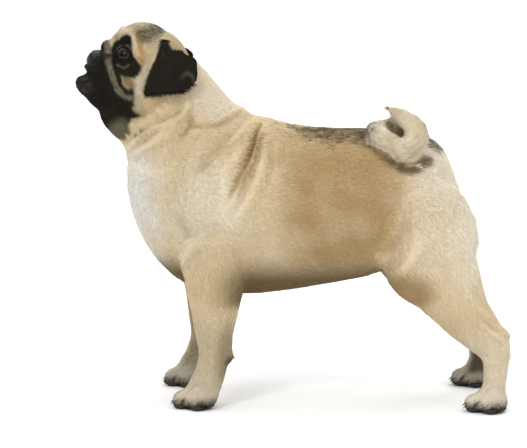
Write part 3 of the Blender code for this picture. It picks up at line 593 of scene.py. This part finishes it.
def paintCoat(points, opening):
    body = points / mm
    body[:, 1] = np.abs(body[:, 1])
    forward, left, up = headView(points)
    head = np.stack([forward, left, up], axis=1)
    ripple = wobble(body, 9, 3)
    head = head + np.stack([ripple, wobble(body, 7, 4), wobble(body, 8, 5)], axis=1) * 0.8
    forward, up = head[:, 0], head[:, 2]
    x, y, z = body.T
    isHead = named(*headWords)
    isEar = named("ear")
    isTail = named("tail")
    onTrunk = ~(isHead | isEar | isTail)
    isLeg = fade(z, 116, 100) * onTrunk
    colour = np.tile(coatColours["cream"], (len(points), 1))

    def lay(word, strength):
        nonlocal colour
        strength = np.clip(strength, 0, 1)[:, None]
        colour = colour * (1 - strength) + coatColours[word] * strength

    patchy = 1 + 0.35 * wobble(body, 38, 6)
    inner = np.where(x < 50, 56, 66)    # where the inner sides of the legs begin; painted shade is laid on them
    # trunk and legs
    lay("fawn", 0.32 * fade(z, 150, 270) * onTrunk * patchy)
    lay("tan", 0.90 * blob(body, (44, 66, 205), (66, 60, 66), 0.3) * onTrunk * patchy)
    lay("tan", 0.70 * blob(body, (44, 40, 262), (74, 55, 34)) * onTrunk)
    lay("pale", 0.75 * blob(body, (-96, 72, 200), (36, 40, 52), 0.6) * onTrunk)
    lay("pale", 0.70 * blob(body, (-84, 20, 322), (30, 70, 34), 0.5) * onTrunk)
    lay("pale", 0.40 * blob(body, (138, 75, 200), (36, 60, 50), 0.6) * onTrunk)
    lay("pale", 0.85 * blob(body, (150, 40, 255), (40, 60, 36), 0.6) * onTrunk)
    lay("pale", 0.95 * fade(x, 142, 176) * fade(z, 110, 165) * onTrunk)
    lay("white", 0.95 * fade(x + 7 * wobble(body, 30, 15), -124, -164) * fade(z, 110, 160)
        * fade(z, 286, 236) * onTrunk)
    lay("fawn", 0.60 * blob(body, (-84, 78, 150), (34, 40, 36), 0.5) * onTrunk)
    # painted shade: darker under the belly, under the brisket, and at the stifle below the flank
    lay("umber", 0.95 * fade(z, 164, 128) * fade(x, -100, -50) * fade(x, 116, 80) * (1 - isLeg)
        * onTrunk)
    lay("umber", 0.90 * fade(z, 164, 136) * fade(y, 64, 46) * fade(x, -76, -104) * onTrunk)
    lay("ochre", 0.80 * blob(body, (112, 70, 124), (26, 34, 18), 0.5) * onTrunk)
    lay("grey", 0.50 * fade(z, 120, 60) * isLeg * fade(x, 140, 110))
    lay("fawn", 0.20 * fade(z, 150, 60) * isLeg * fade(x, 110, 140))
    lay("pale", 0.50 * fade(z, 96, 70) * isLeg * fade(x, 150, 180))
    lay("umber", 0.45 * blob(body, (-72, 66, 60), (12, 18, 34), 0.5) * isLeg)
    # painted shade on the inner sides of the forelegs
    lay("umber", 0.30 * fade(y, inner + 2, inner - 8) * fade(z, 130, 100) * fade(z, 8, 30)
        * fade(x, 0, -40))
    # painted shade along the folds and creases of neck and shoulder: path, width, colour, strength
    folds = (
        (((-178, 12, 268), (-157, 46, 285), (-135, 51, 295), (-121, 48, 305), (-117, 50, 318)), 5,
         "umber", 0.88),
        (((-114, 49, 308), (-114, 54, 292), (-126, 58, 274)), 5, "ochre", 0.8),
        (((-58, 12, 304), (-84, 47, 292), (-116, 56, 288)), 6, "ochre", 0.65),
        (((-50, 25, 297), (-68, 48, 283), (-96, 66, 258), (-120, 70, 220)), 7, "ochre", 0.45),
        (((-40, 20, 294), (-46, 44, 280), (-54, 65, 258), (-64, 72, 236), (-74, 78, 218)), 11,
         "ochre", 0.85),
        (((-42, 30, 290), (-46, 46, 278), (-52, 62, 262), (-58, 70, 246)), 6, "umber", 0.8),
        (((-26, 50, 282), (-26, 62, 266), (-29, 73, 244)), 7, "umber", 0.45),
        (((-128, 50, 214), (-118, 62, 196), (-112, 66, 178)), 14, "grey", 0.6),
    )
    for path, width, word, strength in folds:
        lay(word, strength * trail(body, path, width, 0.2) * onTrunk)
    # the dark trace along the back
    reach = 8 * wobble(body, 22, 14) + 10 * fade(x, -10, 20) * fade(x, 74, 40)
    ragged = 9 * wobble(body, 17, 16)
    trace = fade(x + 2 * ragged, -34, 20) * fade(y + ragged, 50, 22) * onTrunk
    trace = trace * fade(z, 260 - reach, 270 - reach) * fade(x + ragged, 172, 140)
    lay("sooty", trace * (0.62 + 0.25 * wobble(body, 14, 8)))
    # face: cheek, forehead, temple
    lay("fawn", 0.45 * isHead)
    lay("grey", 0.55 * fade(forward, 20, 40) * isHead)
    lay("grey", 0.80 * fade(up, 18, 30) * isHead)
    lay("tan", 0.55 * blob(body, (-112, 34, 374), (30, 24, 16)) * isHead)
    lay("grey", 0.75 * streak(head, ((16, 0), (12, -9), (7, -17), (1, -26), (-8, -31)), 9) * isHead)
    lay("white", 0.35 * streak(head, ((13, -7), (9, -14), (5, -19)), 4) * isHead)
    lay("tan", 0.45 * blob(head, (-22, 50, -13), (19, 24, 10)) * isHead)
    lay("ochre", 0.30 * streak(head, ((-4, -36), (-14, -33), (-26, -24), (-33, -12)), 6) * isHead)
    lay("ochre", 0.90 * streak(head, ((37, 26), (30, 19), (24, 10), (19, 8)), 7) * isHead)
    lay("grey", 0.6 * streak(head, ((26, 30), (19, 20), (14, 11), (9, -1)), 5) * isHead)
    lay("pale", 0.35 * streak(head, ((41, 22.5), (35, 18), (29.5, 13.5), (26, 11)), 3.0) * isHead)
    thumb = patch(head, thumbMark, 4) * isHead
    lay("sooty", thumb * (0.55 + 0.30 * wobble(body, 5, 9)))
    lay("pale", 0.5 * blob(head, (52, 15, 20), (5, 14, 4), 0.5) * isHead)
    lay("sooty", 0.8 * blob(head, (55.5, 18, 10.5), (4, 9, 3.2)) * isHead)
    # the goggle round each eye, and the mask over muzzle and chin, olive on the throat
    lay("black", 0.98 * patch(head, goggle, 1.4) * fade(left, 8, 14) * isHead)
    # painted highlights on the lids round each eye: along the lower lid, at the front corner, over
    # it
    for path in (((36.5, -9.5), (33.4, -9.8), (30, -8), (28, -4)),
                 ((44.4, 0.6), (45.2, 3), (44.2, 6.5)), ((41, 10.4), (39, 12), (35.5, 10.9))):
        lay("drab", 0.32 * streak(head, path, 1.6) * fade(left, 14, 20) * isHead)
    lay("umber", 0.80 * blob(head, (18, 52, -16.5), (7, 12, 4.5)) * isHead)
    masked = patch(head, mask, 1.6) * isHead
    lay("black", 0.98 * masked)
    lay("drab", 0.62 * blob(head, (-5, 20, -63), (11, 60, 13), 0.5) * masked)
    # painted highlights: sheen on the black hair of the chin, lips and round the nose, some in
    # flecks
    lay("charcoal", 0.75 * blob(head, (52, 0, -51), (14, 30, 11)) * masked)
    lay("charcoal", 0.80 * blob(head, (55, 10, -20), (10, 16, 15)) * masked)
    sheenFlecks = fade(wobble(body, 8, 18), -0.6, 1.2)
    lay("olive", 0.55 * sheenFlecks * blob(head, (50, 14, -46), (10, 16, 8), 0.8) * masked)
    lay("olive", 0.45 * sheenFlecks * blob(head, (57, 14, -24), (8, 14, 10), 0.8) * masked)
    # painted highlight along the crest of the roll over the nose
    roll = streak(head, ((61, 1), (58, 0.5), (53, -5), (47.4, -11), (39.7, -18), (29, -25),
                         (21, -29), (13, -29.5), (7, -27)), 4.6)
    lay("drab", roll * (0.72 + 0.25 * wobble(body, 5, 12)) * isHead)
    lay("grey", 0.55 * blob(head, (56.5, 8, 6), (4, 12, 2.6)) * isHead)
    lay("grey", 0.50 * blob(head, (57, 5, -38.5), (3, 5, 1.3)) * isHead)
    # ears
    flap = patch(body, earFlap, 1.0) * (y > 34) * ~isTail
    lay("fawn", isEar * (1 - flap))
    lay("black", 0.98 * flap)
    # painted highlights on the black flap: along the rim of its front fold, and round the rear curl
    lay("umber", 0.75 * trail(body, ((-139.7, 48, 376), (-140, 52, 365), (-143, 56, 357),
                                     (-147, 58, 351)), 3.6, 0.4) * flap)
    lay("olive", 0.6 * trail(body, ((-126.4, 58, 329), (-121.5, 58, 338), (-115.5, 56, 342.5),
                                    (-109.4, 53, 338.5), (-108.3, 52, 331.5)), 3.6, 0.4) * flap)
    # tail: greyish cream, with painted shade inside the curl, darker in its hollow, darkest in the
    # slit
    lay("grey", 0.40 * isTail)
    lay("pale", 0.55 * isTail * (0.5 + 0.5 * wobble(body, 12, 10)))
    lay("pale", 0.70 * blob(body, (78, 42, 284), (14, 14, 16)) * isTail)
    lay("ochre", 0.8 * blob(body, (99, 20, 290), (11, 12, 10)) * isTail)
    lay("sooty", 0.95 * trail(body, ((94, 36, 291), (99, 38, 285), (106, 40, 280)), 7) * isTail)
    strands = fade(wobble(body * (1, 1, 2.2), 10, 17), 0.35, 0.9)
    lay("ochre", 0.45 * strands * isTail)
    # a dark band on the rump under the curl: painted shadow of the tail, with some darker fur
    under = trail(body, ((66, 40, 279), (80, 52, 265), (97, 56, 252), (113, 56, 248),
                         (129, 47, 257)), 9)
    lay("umber", 0.95 * under * onTrunk * (points[:, 1] < 0))    # the tail hangs on the left
    # feet: pale toes, black round the soles and behind the wrist; painted shade on the inner sides
    # of the hind legs, low on the feet and in the grooves between the toes
    lay("white", 0.30 * fade(z, 40, 16) * isLeg)
    # painted shade on the inner sides of the hind legs
    lay("sooty", 0.92 * fade(y, inner + 3, inner - 8) * fade(z, 124, 100) * fade(z, 8, 22)
        * fade(x, 100, 150))
    lay("sooty", 0.75 * blob(body, (-70, 60, 52), (7, 12, 7)) * isLeg)
    lay("sooty", 0.70 * trail(body, ((-68, 60, 52), (-73, 60, 42), (-80, 60, 26), (-84, 60, 8)), 9)
        * isLeg)
    tip, aside, ahead = (np.where(x < 0, feet["fore"][word], feet["hind"][word])
                         for word in ("tip", "side", "ahead"))
    toward = np.stack([x + np.where(points[:, 1] > 0, ahead, 0) - tip, y - aside, z], axis=1)
    sole = np.where(toward[:, 0] > 26, 8.5, 5.5)
    # painted shade low on each foot, darker towards the floor
    lay("sooty", 0.55 * fade(z, sole + 9, sole) * isLeg)
    # painted shade in the grooves between the toes
    for out, back in grooves:
        course = ((back, out, 3), (back + 3, out, 9), (back + 11, out, 15))
        lay("black", 0.85 * trail(toward, course, 3.2, 0.5) * isLeg)
    lay("black", 0.97 * fade(z, sole + 1.5, sole - 2) * isLeg)
    lay("black", opening)
    # dark tufts on the trace and the thumb mark, and low on the feet as painted shade
    dapple = np.clip(0.45 * trace + 0.5 * thumb + 0.4 * fade(z, 15, 7) * isLeg, 0, 0.6)
    return colour, dapple


mesh = skin.data
points = pointsOf(mesh)
labels = labelsOf(points)
coatColour, dapple = paintCoat(points, opening)
skinToneAndShade = {"dappled": 0.5, "all": 0.80}    # darker than the hair over it: painted shade between the hairs, and darker under dark tufts
shade = coatColour * (1 - skinToneAndShade["dappled"] * dapple[:, None]) * skinToneAndShade["all"]
paintPoints(mesh, "coat", shade)
print("markings laid")

# Short dense fawn coat: dry, soft, no gloss, with the fine grain of hair in the bump
hairGrain = {"spacing": 0.9, "depth": 0.00025}    # mm between hairs, drawn coarser than real ones
coatMaterial, tree, shader = newMaterial("shortFawnFur")
tint = addNode(tree, "Attribute", {"attribute_name": "coat"})
place = addNode(tree, "TexCoord")
grain = addNode(tree, "TexNoise", {"Scale": 1000 / hairGrain["spacing"], "Detail": 2.0},
                {"Vector": place.outputs["Object"]})
bump = addNode(tree, "Bump", {"Strength": 0.5, "Distance": hairGrain["depth"]},
               {"Height": grain.outputs["Fac"]})
tree.links.new(tint.outputs["Color"], shader.inputs["Base Color"])
tree.links.new(bump.outputs["Normal"], shader.inputs["Normal"])
shader.inputs["Roughness"].default_value = 0.8
shader.inputs["Specular IOR Level"].default_value = 0.06
skin.data.materials.clear()
skin.data.materials.append(coatMaterial)
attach(skin, "root")
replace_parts(skin, *flesh)

# Single short hairs: dry, with a faint sheen along the coat, and each tuft in its own tone
tuftMaterial, tree, shader = newMaterial("shortFawnHair")
tint = addNode(tree, "Attribute", {"attribute_name": "coat"})
tree.links.new(tint.outputs["Color"], shader.inputs["Base Color"])
shader.inputs["Roughness"].default_value = 0.65
shader.inputs["Specular IOR Level"].default_value = 0.08

# The lie of the coat: which way the hair points all over the skin
tailLine = ((118, 0, 254), (124, -3, 272), (117, -10, 281), (103, -18, 283), (89, -29, 283),
            (78, -40, 283), (89, -49, 276), (104, -51, 266), (118, -48, 273), (118, -43, 286),
            (109, -38, 295), (102, -35, 301), (95, -33, 305), (89, -31, 307))


def lieOf(points):
    x, y, z = points.T / mm
    side = np.sign(y)
    y = np.abs(y)
    lie = np.tile((1.0, 0.0, -0.28), (len(points), 1))
    lie[:, 2] -= 0.55 * fade(z, 240, 150) * fade(y, 20, 60)
    breast = fade(x, -120, -160)
    lie[:, 0] -= 0.8 * breast
    lie[:, 2] -= 1.0 * breast
    for way, share in (
        ((0.25, 0, -1.0), fade(z, 180, 115) * fade(x, -15, -50) * fade(y, 30, 46)),
        ((0.55, 0, -0.85), fade(x, 80, 140) * fade(z, 245, 190)),
        ((0.15, 0, -1.0), fade(z, 135, 90) * fade(x, 90, 120)),
        ((-0.8, 0, -0.7), fade(z, 40, 22)),
    ):
        lie += share[:, None] * (np.array(way) - lie)
    away = points - onHead(62, 0, -4)
    isHead = named(*headWords)
    lie[isHead] = unit(away)[isHead]
    lie[named("ear")] = (-0.20, 0, -1.0)
    lie[:, 1] += 0.10 * side
    line = smoothLine(tailLine, 5) * mm
    course = np.gradient(line, axis=0)
    tail = np.flatnonzero(named("tail"))
    nearest = lengths(points[tail, None] - line[None]).argmin(1)
    lie[tail] = unit(course[nearest])
    return lie


# millimetres of hair, and tufts to a square millimetre, for each part of the body
tuftPlan = {
    "neck": (6.0, 1.15), "chest": (6.0, 1.05), "loin": (6.0, 1.05), "rump": (6.5, 1.05),
    "tail": (7.0, 1.5), "head": (3.8, 1.75), "eye": (2.2, 2.0), "nose": (2.2, 2.0),
    "ear": (2.0, 2.1), "upper_arm": (5.5, 1.15), "forearm": (4.5, 1.3), "fore_paw": (3.0, 1.8),
    "thigh": (6.5, 1.05), "shank": (5.0, 1.2), "rear_pastern": (4.0, 1.4), "hind_paw": (3.0, 1.8),
}
muzzleHair = 2.2
bareNose = {"place": (54, 0, -21), "radius": 0.0125}
mostTufts = 49000    # of four triangles each, so that a piece stays under 200,000
ends = neighbours(mesh)
normals = pointsOf(mesh, "normal")
lie = spread(ends, lieOf(points), 30)
hairLength, crowding = np.zeros((2, len(points)))
for word, plan in tuftPlan.items():
    here = named(word)
    hairLength[here], crowding[here] = plan
forward, left, up = headView(points)
muzzle = fade(forward, 8, 40) * named(*headWords)
hairLength = hairLength * (1 - muzzle) + muzzleHair * muzzle
hairLength = spread(ends, hairLength, 16)[:, 0]
crowding *= 1 - 0.98 * (opening > 0.5)    # next to none under the lids
fromNose = lengths(points - onHead(*bareNose["place"]))
crowding[fromNose < bareNose["radius"]] = 0

mesh.calc_loop_triangles()
triangles = np.empty(len(mesh.loop_triangles) * 3, int)
mesh.loop_triangles.foreach_get("vertices", triangles)
triangles = triangles.reshape(-1, 3)
corners = points[triangles]
areas = lengths(np.cross(corners[:, 1] - corners[:, 0], corners[:, 2] - corners[:, 0]))
areas = areas / 2 / mm ** 2


# Lays out where each tuft is baked: the skin is unwrapped in flat charts, one for each way that
# it faces on each side of the dog, and a tuft's patch is at its root's place on its chart.
unwrap = {"across": 4, "down": 3, "patch": 0.003, "border": 0.01}


def unwrapRoots(roots, normals):
    axis = np.abs(normals).argmax(1)
    facing = np.take_along_axis(normals, axis[:, None], 1)[:, 0]
    chart = axis * 4 + (facing > 0) * 2 + (roots[:, 1] > 0)
    flat = np.empty((len(roots), 2))
    for k, (first, second) in enumerate(((1, 2), (0, 2), (0, 1))):
        here = axis == k
        flat[here] = roots[here][:, [first, second]]
    placed = np.empty_like(flat)
    for k in range(unwrap["across"] * unwrap["down"]):
        here = chart == k
        if here.any():
            low, high = flat[here].min(0), flat[here].max(0)
            cell = np.array((k % unwrap["across"], k // unwrap["across"]), float)
            inner = (flat[here] - low) / np.maximum(high - low, 1e-6)
            inner = unwrap["border"] + inner * (1 - 2 * unwrap["border"])
            placed[here] = (cell + inner) / (unwrap["across"], unwrap["down"])
    return placed


# shares of the hair's length, ranges of chance, and metres; then, for the two roots, ridge and
# tip of a blade, its tone, darker at the roots as painted shade deep in the coat, and how its
# normals lean
blades = {
    "sway": 0.16, "lengths": (0.7, 1.25), "slender": 0.10, "thinnest": 0.14 * mm,
    "lift": 0.15, "lifts": (0.5, 1.25), "sunk": 0.0004, "ridge": 0.42, "thick": 0.00018,
    "toneVaries": 0.09, "toneLimits": (0.75, 1.3), "darkTones": (0.5, 1.4),
    "tone": np.array((0.80, 0.80, 1.0, 1.08)),
    "leanAcross": np.array((-0.45, 0.45, 0.0, 0.0)), "leanAlong": np.array((-0.1, -0.1, 0.0, 0.25)),
}


# One coat piece: each tuft is a slim closed blade, with two roots sunk in the skin, a ridge, and
# a tip that stands a little off.
def growCoat(name, wanted, seed):
    rng = np.random.default_rng(seed)
    chosen = np.flatnonzero(wanted[triangles[:, 0]])
    weight = areas[chosen] * crowding[triangles[chosen]].mean(1)
    count = int(min(weight.sum(), mostTufts))
    print(name, count, "tufts, wanted", int(weight.sum()))
    ladder = np.cumsum(weight)
    face = chosen[np.searchsorted(ladder, rng.random(count) * ladder[-1])]
    a, b = rng.random(count), rng.random(count)
    over = a + b > 1
    a[over], b[over] = 1 - a[over], 1 - b[over]
    share = np.stack([1 - a - b, a, b], axis=1)
    at = triangles[face]

    def blendOf(values):
        return (values[at] * share.reshape(share.shape + (1,) * (values.ndim - 1))).sum(1)

    root, normal, way, length = (blendOf(v) for v in (points, normals, lie, hairLength))
    normal = unit(normal)
    way = way + rng.normal(0, blades["sway"], way.shape)
    way -= normal * (way * normal).sum(1)[:, None]
    way = unit(way)
    across = np.cross(normal, way)
    length = length * mm * rng.uniform(*blades["lengths"], count)
    width = blades["slender"] * length + blades["thinnest"]
    lift = blades["lift"] * length * rng.uniform(*blades["lifts"], count)
    sunk = root - normal * blades["sunk"]
    part = blades["ridge"]
    ridge = (root + way * (part * length)[:, None]
             + normal * (part * lift + blades["thick"])[:, None])
    tip = root + way * length[:, None] + normal * lift[:, None]
    half = across * width[:, None] / 2
    spots = np.stack([sunk - half, sunk + half, ridge, tip], axis=1)
    pick = (rng.random(count)[:, None] > np.cumsum(share, axis=1)).sum(1).clip(0, 2)
    source = at[np.arange(count), pick]
    varied = rng.normal(1.0, blades["toneVaries"], count).clip(*blades["toneLimits"])
    tone = coatColour[source] * varied[:, None]
    dark = rng.random(count) < dapple[source]
    tone[dark] = coatColours["sooty"] * rng.uniform(*blades["darkTones"], dark.sum())[:, None]
    tones = np.clip(tone[:, None] * blades["tone"][:, None], 0, 1)
    facing = unit(normal[:, None] + across[:, None] * blades["leanAcross"][:, None]
                  + way[:, None] * blades["leanAlong"][:, None])
    blade = np.array(((1, 0, 2), (3, 1, 2), (0, 3, 2), (0, 1, 3)))
    faces = (np.arange(count)[:, None, None] * 4 + blade[None]).reshape(-1, 3)

    coat = bpy.data.meshes.new(name)
    coat.vertices.add(4 * count)
    coat.vertices.foreach_set("co", spots.ravel())
    coat.loops.add(faces.size)
    coat.loops.foreach_set("vertex_index", faces.ravel())
    coat.polygons.add(len(faces))
    coat.polygons.foreach_set("loop_start", np.arange(0, faces.size, 3))
    coat.polygons.foreach_set("loop_total", np.full(len(faces), 3))
    coat.update()
    coat.shade_smooth()
    paintPoints(coat, "coat", tones.reshape(-1, 3))
    middle = unwrapRoots(root, normal)
    spots = np.array(((-0.5, -0.5), (0.5, -0.5), (0.0, 0.0), (0.0, 0.5))) * unwrap["patch"]
    spots = (middle[:, None] + spots[None]).reshape(-1, 2)[faces.ravel()]
    coat.uv_layers.new(name="OFBake").data.foreach_set("uv", spots.ravel())
    coat.normals_split_custom_set_from_vertices(facing.reshape(-1, 3).tolist())
    coat.materials.append(tuftMaterial)
    piece = newObject(name, coat)
    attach(piece, "root")


isLeft = points[:, 1] < 0
isAny = isLeft | True
coats = (
    ("coatHeadLeft", "fawn_coat", isLeft, headWords),
    ("coatHeadRight", "fawn_coat", ~isLeft, headWords),
    ("coatEars", "black_ear", isAny, ("ear",)),
    ("coatNeck", "fawn_coat", isAny, ("neck",)),
    ("coatChestLeft", "fawn_coat", isLeft, ("chest", "upper_arm")),
    ("coatChestRight", "fawn_coat", ~isLeft, ("chest", "upper_arm")),
    ("coatLoin", "fawn_coat", isAny, ("loin",)),
    ("coatRumpLeft", "fawn_coat", isLeft, ("rump", "thigh")),
    ("coatRumpRight", "fawn_coat", ~isLeft, ("rump", "thigh")),
    ("coatTail", "fawn_coat", isAny, ("tail",)),
    ("coatForeLegs", "paw", isAny, ("forearm", "fore_paw")),
    ("coatHindLegs", "paw", isAny, ("shank", "rear_pastern", "hind_paw")),
)
for seed, (name, slotName, onSide, words) in enumerate(coats):
    growCoat(name, onSide & named(*words), seed + 11)
print("coat grown")

# Eyes: dark brown and wet, with small sharp glints, and bulging a little in front. Angles are
# degrees from the middle.
eyeLook = {"pupil": 17, "pupilRim": 1.5, "bulge": 0.0005, "bulging": (44, 10),
           "rings": (("0e0805", 27, 34), ("3a302a", 35, 41)), "black": "030202", "brown": "1e110a"}
eyeMaterial, tree, shader = newMaterial("wetDarkEye")
tint = addNode(tree, "Attribute", {"attribute_name": "tint"})
tree.links.new(tint.outputs["Color"], shader.inputs["Base Color"])
shader.inputs["Roughness"].default_value = 0.05
shader.inputs["Specular IOR Level"].default_value = 0.16


def makeEye(name, side):
    axis = eyeFrame()[0] * (1, side, 1)
    forward, left, up = eyes["place"]
    centre = onHead(forward, side * left, up)
    bm = bmesh.new()
    bmesh.ops.create_uvsphere(bm, u_segments=72, v_segments=48, radius=eyes["radius"],
                              matrix=Vector(axis).to_track_quat("Z", "Y").to_matrix().to_4x4())
    for vert in bm.verts:
        angle = vert.co.angle(Vector(axis))
        vert.co *= 1 + eyeLook["bulge"] / eyes["radius"] * float(
            fade(math.degrees(angle), *eyeLook["bulging"]))
    bmesh.ops.translate(bm, verts=bm.verts, vec=centre)
    ball = finishMesh(bm, name)
    away = unit(pointsOf(ball.data) - centre)
    angle = np.degrees(np.arccos(np.clip(away @ axis, -1, 1)))
    spokes = np.arctan2(away @ headAbove, away @ np.cross(headAbove, axis))
    tone = np.tile(linear(eyeLook["brown"]), (len(angle), 1))
    tone *= (1 + 0.35 * np.sin(spokes * 23) * np.sin(spokes * 7 + 1))[:, None]
    pupil, rim = eyeLook["pupil"], eyeLook["pupilRim"]
    for code, low, high in (*eyeLook["rings"], (eyeLook["black"], pupil + rim, pupil - rim)):
        share = fade(angle, low, high)[:, None]
        tone = tone * (1 - share) + np.array(linear(code)) * share
    paintPoints(ball.data, "tint", tone)
    ball.data.materials.append(eyeMaterial)
    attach(ball, "root")
    return ball


for word, side in (("left", 1), ("right", -1)):
    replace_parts(makeEye("eyeball" + word.title(), side), "eye_" + word)
print("eyes set")

# Nose: moist black leather in fine pebbles, with two comma-shaped nostrils and a middle groove
noseLook = {"centre": (52.6, 0, -21.2), "radii": (0.0112, 0.0152, 0.0118), "pebble": 0.9,
            "front": (51, 57)}    # its strokes come in between these, mm forward on the head
noseMaterial, tree, shader = newMaterial("moistNoseLeather")
place = addNode(tree, "TexCoord")
pebbles = addNode(tree, "TexVoronoi", {"Scale": 1000 / noseLook["pebble"]},
                  {"Vector": place.outputs["Object"]})
bump = addNode(tree, "Bump", {"Strength": 0.55, "Distance": 0.0002, "invert": True},
               {"Height": pebbles.outputs["Distance"]})
tree.links.new(bump.outputs["Normal"], shader.inputs["Normal"])
shader.inputs["Base Color"].default_value = (*linear("141312"), 1)
shader.inputs["Roughness"].default_value = 0.40
shader.inputs["Specular IOR Level"].default_value = 0.36
bm = bmesh.new()
sphereInto(bm, onHead(*noseLook["centre"]), noseLook["radii"], 6)
nosePiece = finishMesh(bm, "noseLeather")
nosePoints = pointsOf(nosePiece.data)
noseNormals = pointsOf(nosePiece.data, "normal")
forward, left, up = headView(nosePoints)
front = fade(forward, *noseLook["front"])
# path (left, up), width, height, in millimetres: nostrils, groove, and the wings over them
for path, width, height in (
    (((4.6, -22.4), (5.4, -20.0), (7.4, -19.4), (9.0, -21.2), (11.6, -23.4), (14.0, -23.2)),
     1.7, -4.4),
    (((0.0, -17.8), (0.0, -23.8), (0.0, -32.8)), 0.8, -1.3),
    (((5.0, -15.8), (9.0, -16.4), (12.5, -19.4)), 1.8, 0.7),
):
    line = smoothLine(path, 10)
    away = np.hypot(left[:, None] - line[:, 0], up[:, None] - line[:, 1]).min(1)
    size = height * mm * np.exp(-(away / width) ** 2) * front
    nosePoints += noseNormals * size[:, None]
setPoints(nosePiece.data, nosePoints)
nosePiece.data.materials.append(noseMaterial)
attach(nosePiece, "root")
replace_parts(nosePiece, "nose")

# Claws and pads of the four paws: horn with a dull shine, and rough black pads
clawPlan = {"length": 7.0, "radius": 2.5, "height": 9.5, "drop": 5.5, "inside": 6.0,
            "narrowing": 0.65, "curve": 1.4}
# for toes and heel: back from the toe's or foot's tip, height, radii, in millimetres
padPlan = {"toe": (10, 3.5, (7.2, 5.2, 3.5)), "heel": (34, 4.5, (11.0, 15.0, 4.5)), "grain": 1.2}
clawMaterial, tree, shader = newMaterial("blackHorn")
shader.inputs["Base Color"].default_value = (*linear("1c1916"), 1)
shader.inputs["Roughness"].default_value = 0.38
padMaterial, tree, shader = newMaterial("blackPadLeather")
place = addNode(tree, "TexCoord")
rough = addNode(tree, "TexVoronoi", {"Scale": 1000 / padPlan["grain"]},
                {"Vector": place.outputs["Object"]})
bump = addNode(tree, "Bump", {"Strength": 0.6, "Distance": 0.0003},
               {"Height": rough.outputs["Distance"]})
tree.links.new(bump.outputs["Normal"], shader.inputs["Normal"])
shader.inputs["Base Color"].default_value = (*linear("1b1916"), 1)
shader.inputs["Roughness"].default_value = 0.7
clawMesh, padMesh = bmesh.new(), bmesh.new()


def addPad(place, radii):
    bmesh.ops.create_icosphere(
        padMesh, subdivisions=3, radius=1, matrix=Matrix.Diagonal((mm, mm, mm, 1))
        @ Matrix.Translation(place) @ Matrix.Diagonal((*radii, 1)))


for foot in feet.values():
    for side in (-1, 1):
        tip = foot["tip"] - foot["ahead"] * (side > 0)
        middle = side * foot["side"]
        for out, setBack in toes:
            base = Vector((tip + setBack + clawPlan["inside"], middle + out, clawPlan["height"]))
            claw = bmesh.ops.create_uvsphere(clawMesh, u_segments=12, v_segments=16, radius=1)
            for vert in claw["verts"]:
                t = (1 - vert.co.z) / 2
                taper = clawPlan["radius"] * (1 - clawPlan["narrowing"] * t)
                vert.co = mm * (base + Vector((
                    -t * clawPlan["length"] + vert.co.y * taper * 0.5, vert.co.x * taper * 0.8,
                    vert.co.y * taper - clawPlan["drop"] * t ** clawPlan["curve"])))
            run, high, radii = padPlan["toe"]
            addPad((tip + setBack + run, middle + out, high), radii)
        run, high, radii = padPlan["heel"]
        addPad((tip + run, middle, high), radii)
claws, pads = finishMesh(clawMesh, "claws"), finishMesh(padMesh, "pads")
claws.data.materials.append(clawMaterial)
pads.data.materials.append(padMaterial)
for piece in (claws, pads):
    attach(piece, "root")
print("nose, claws and pads set")
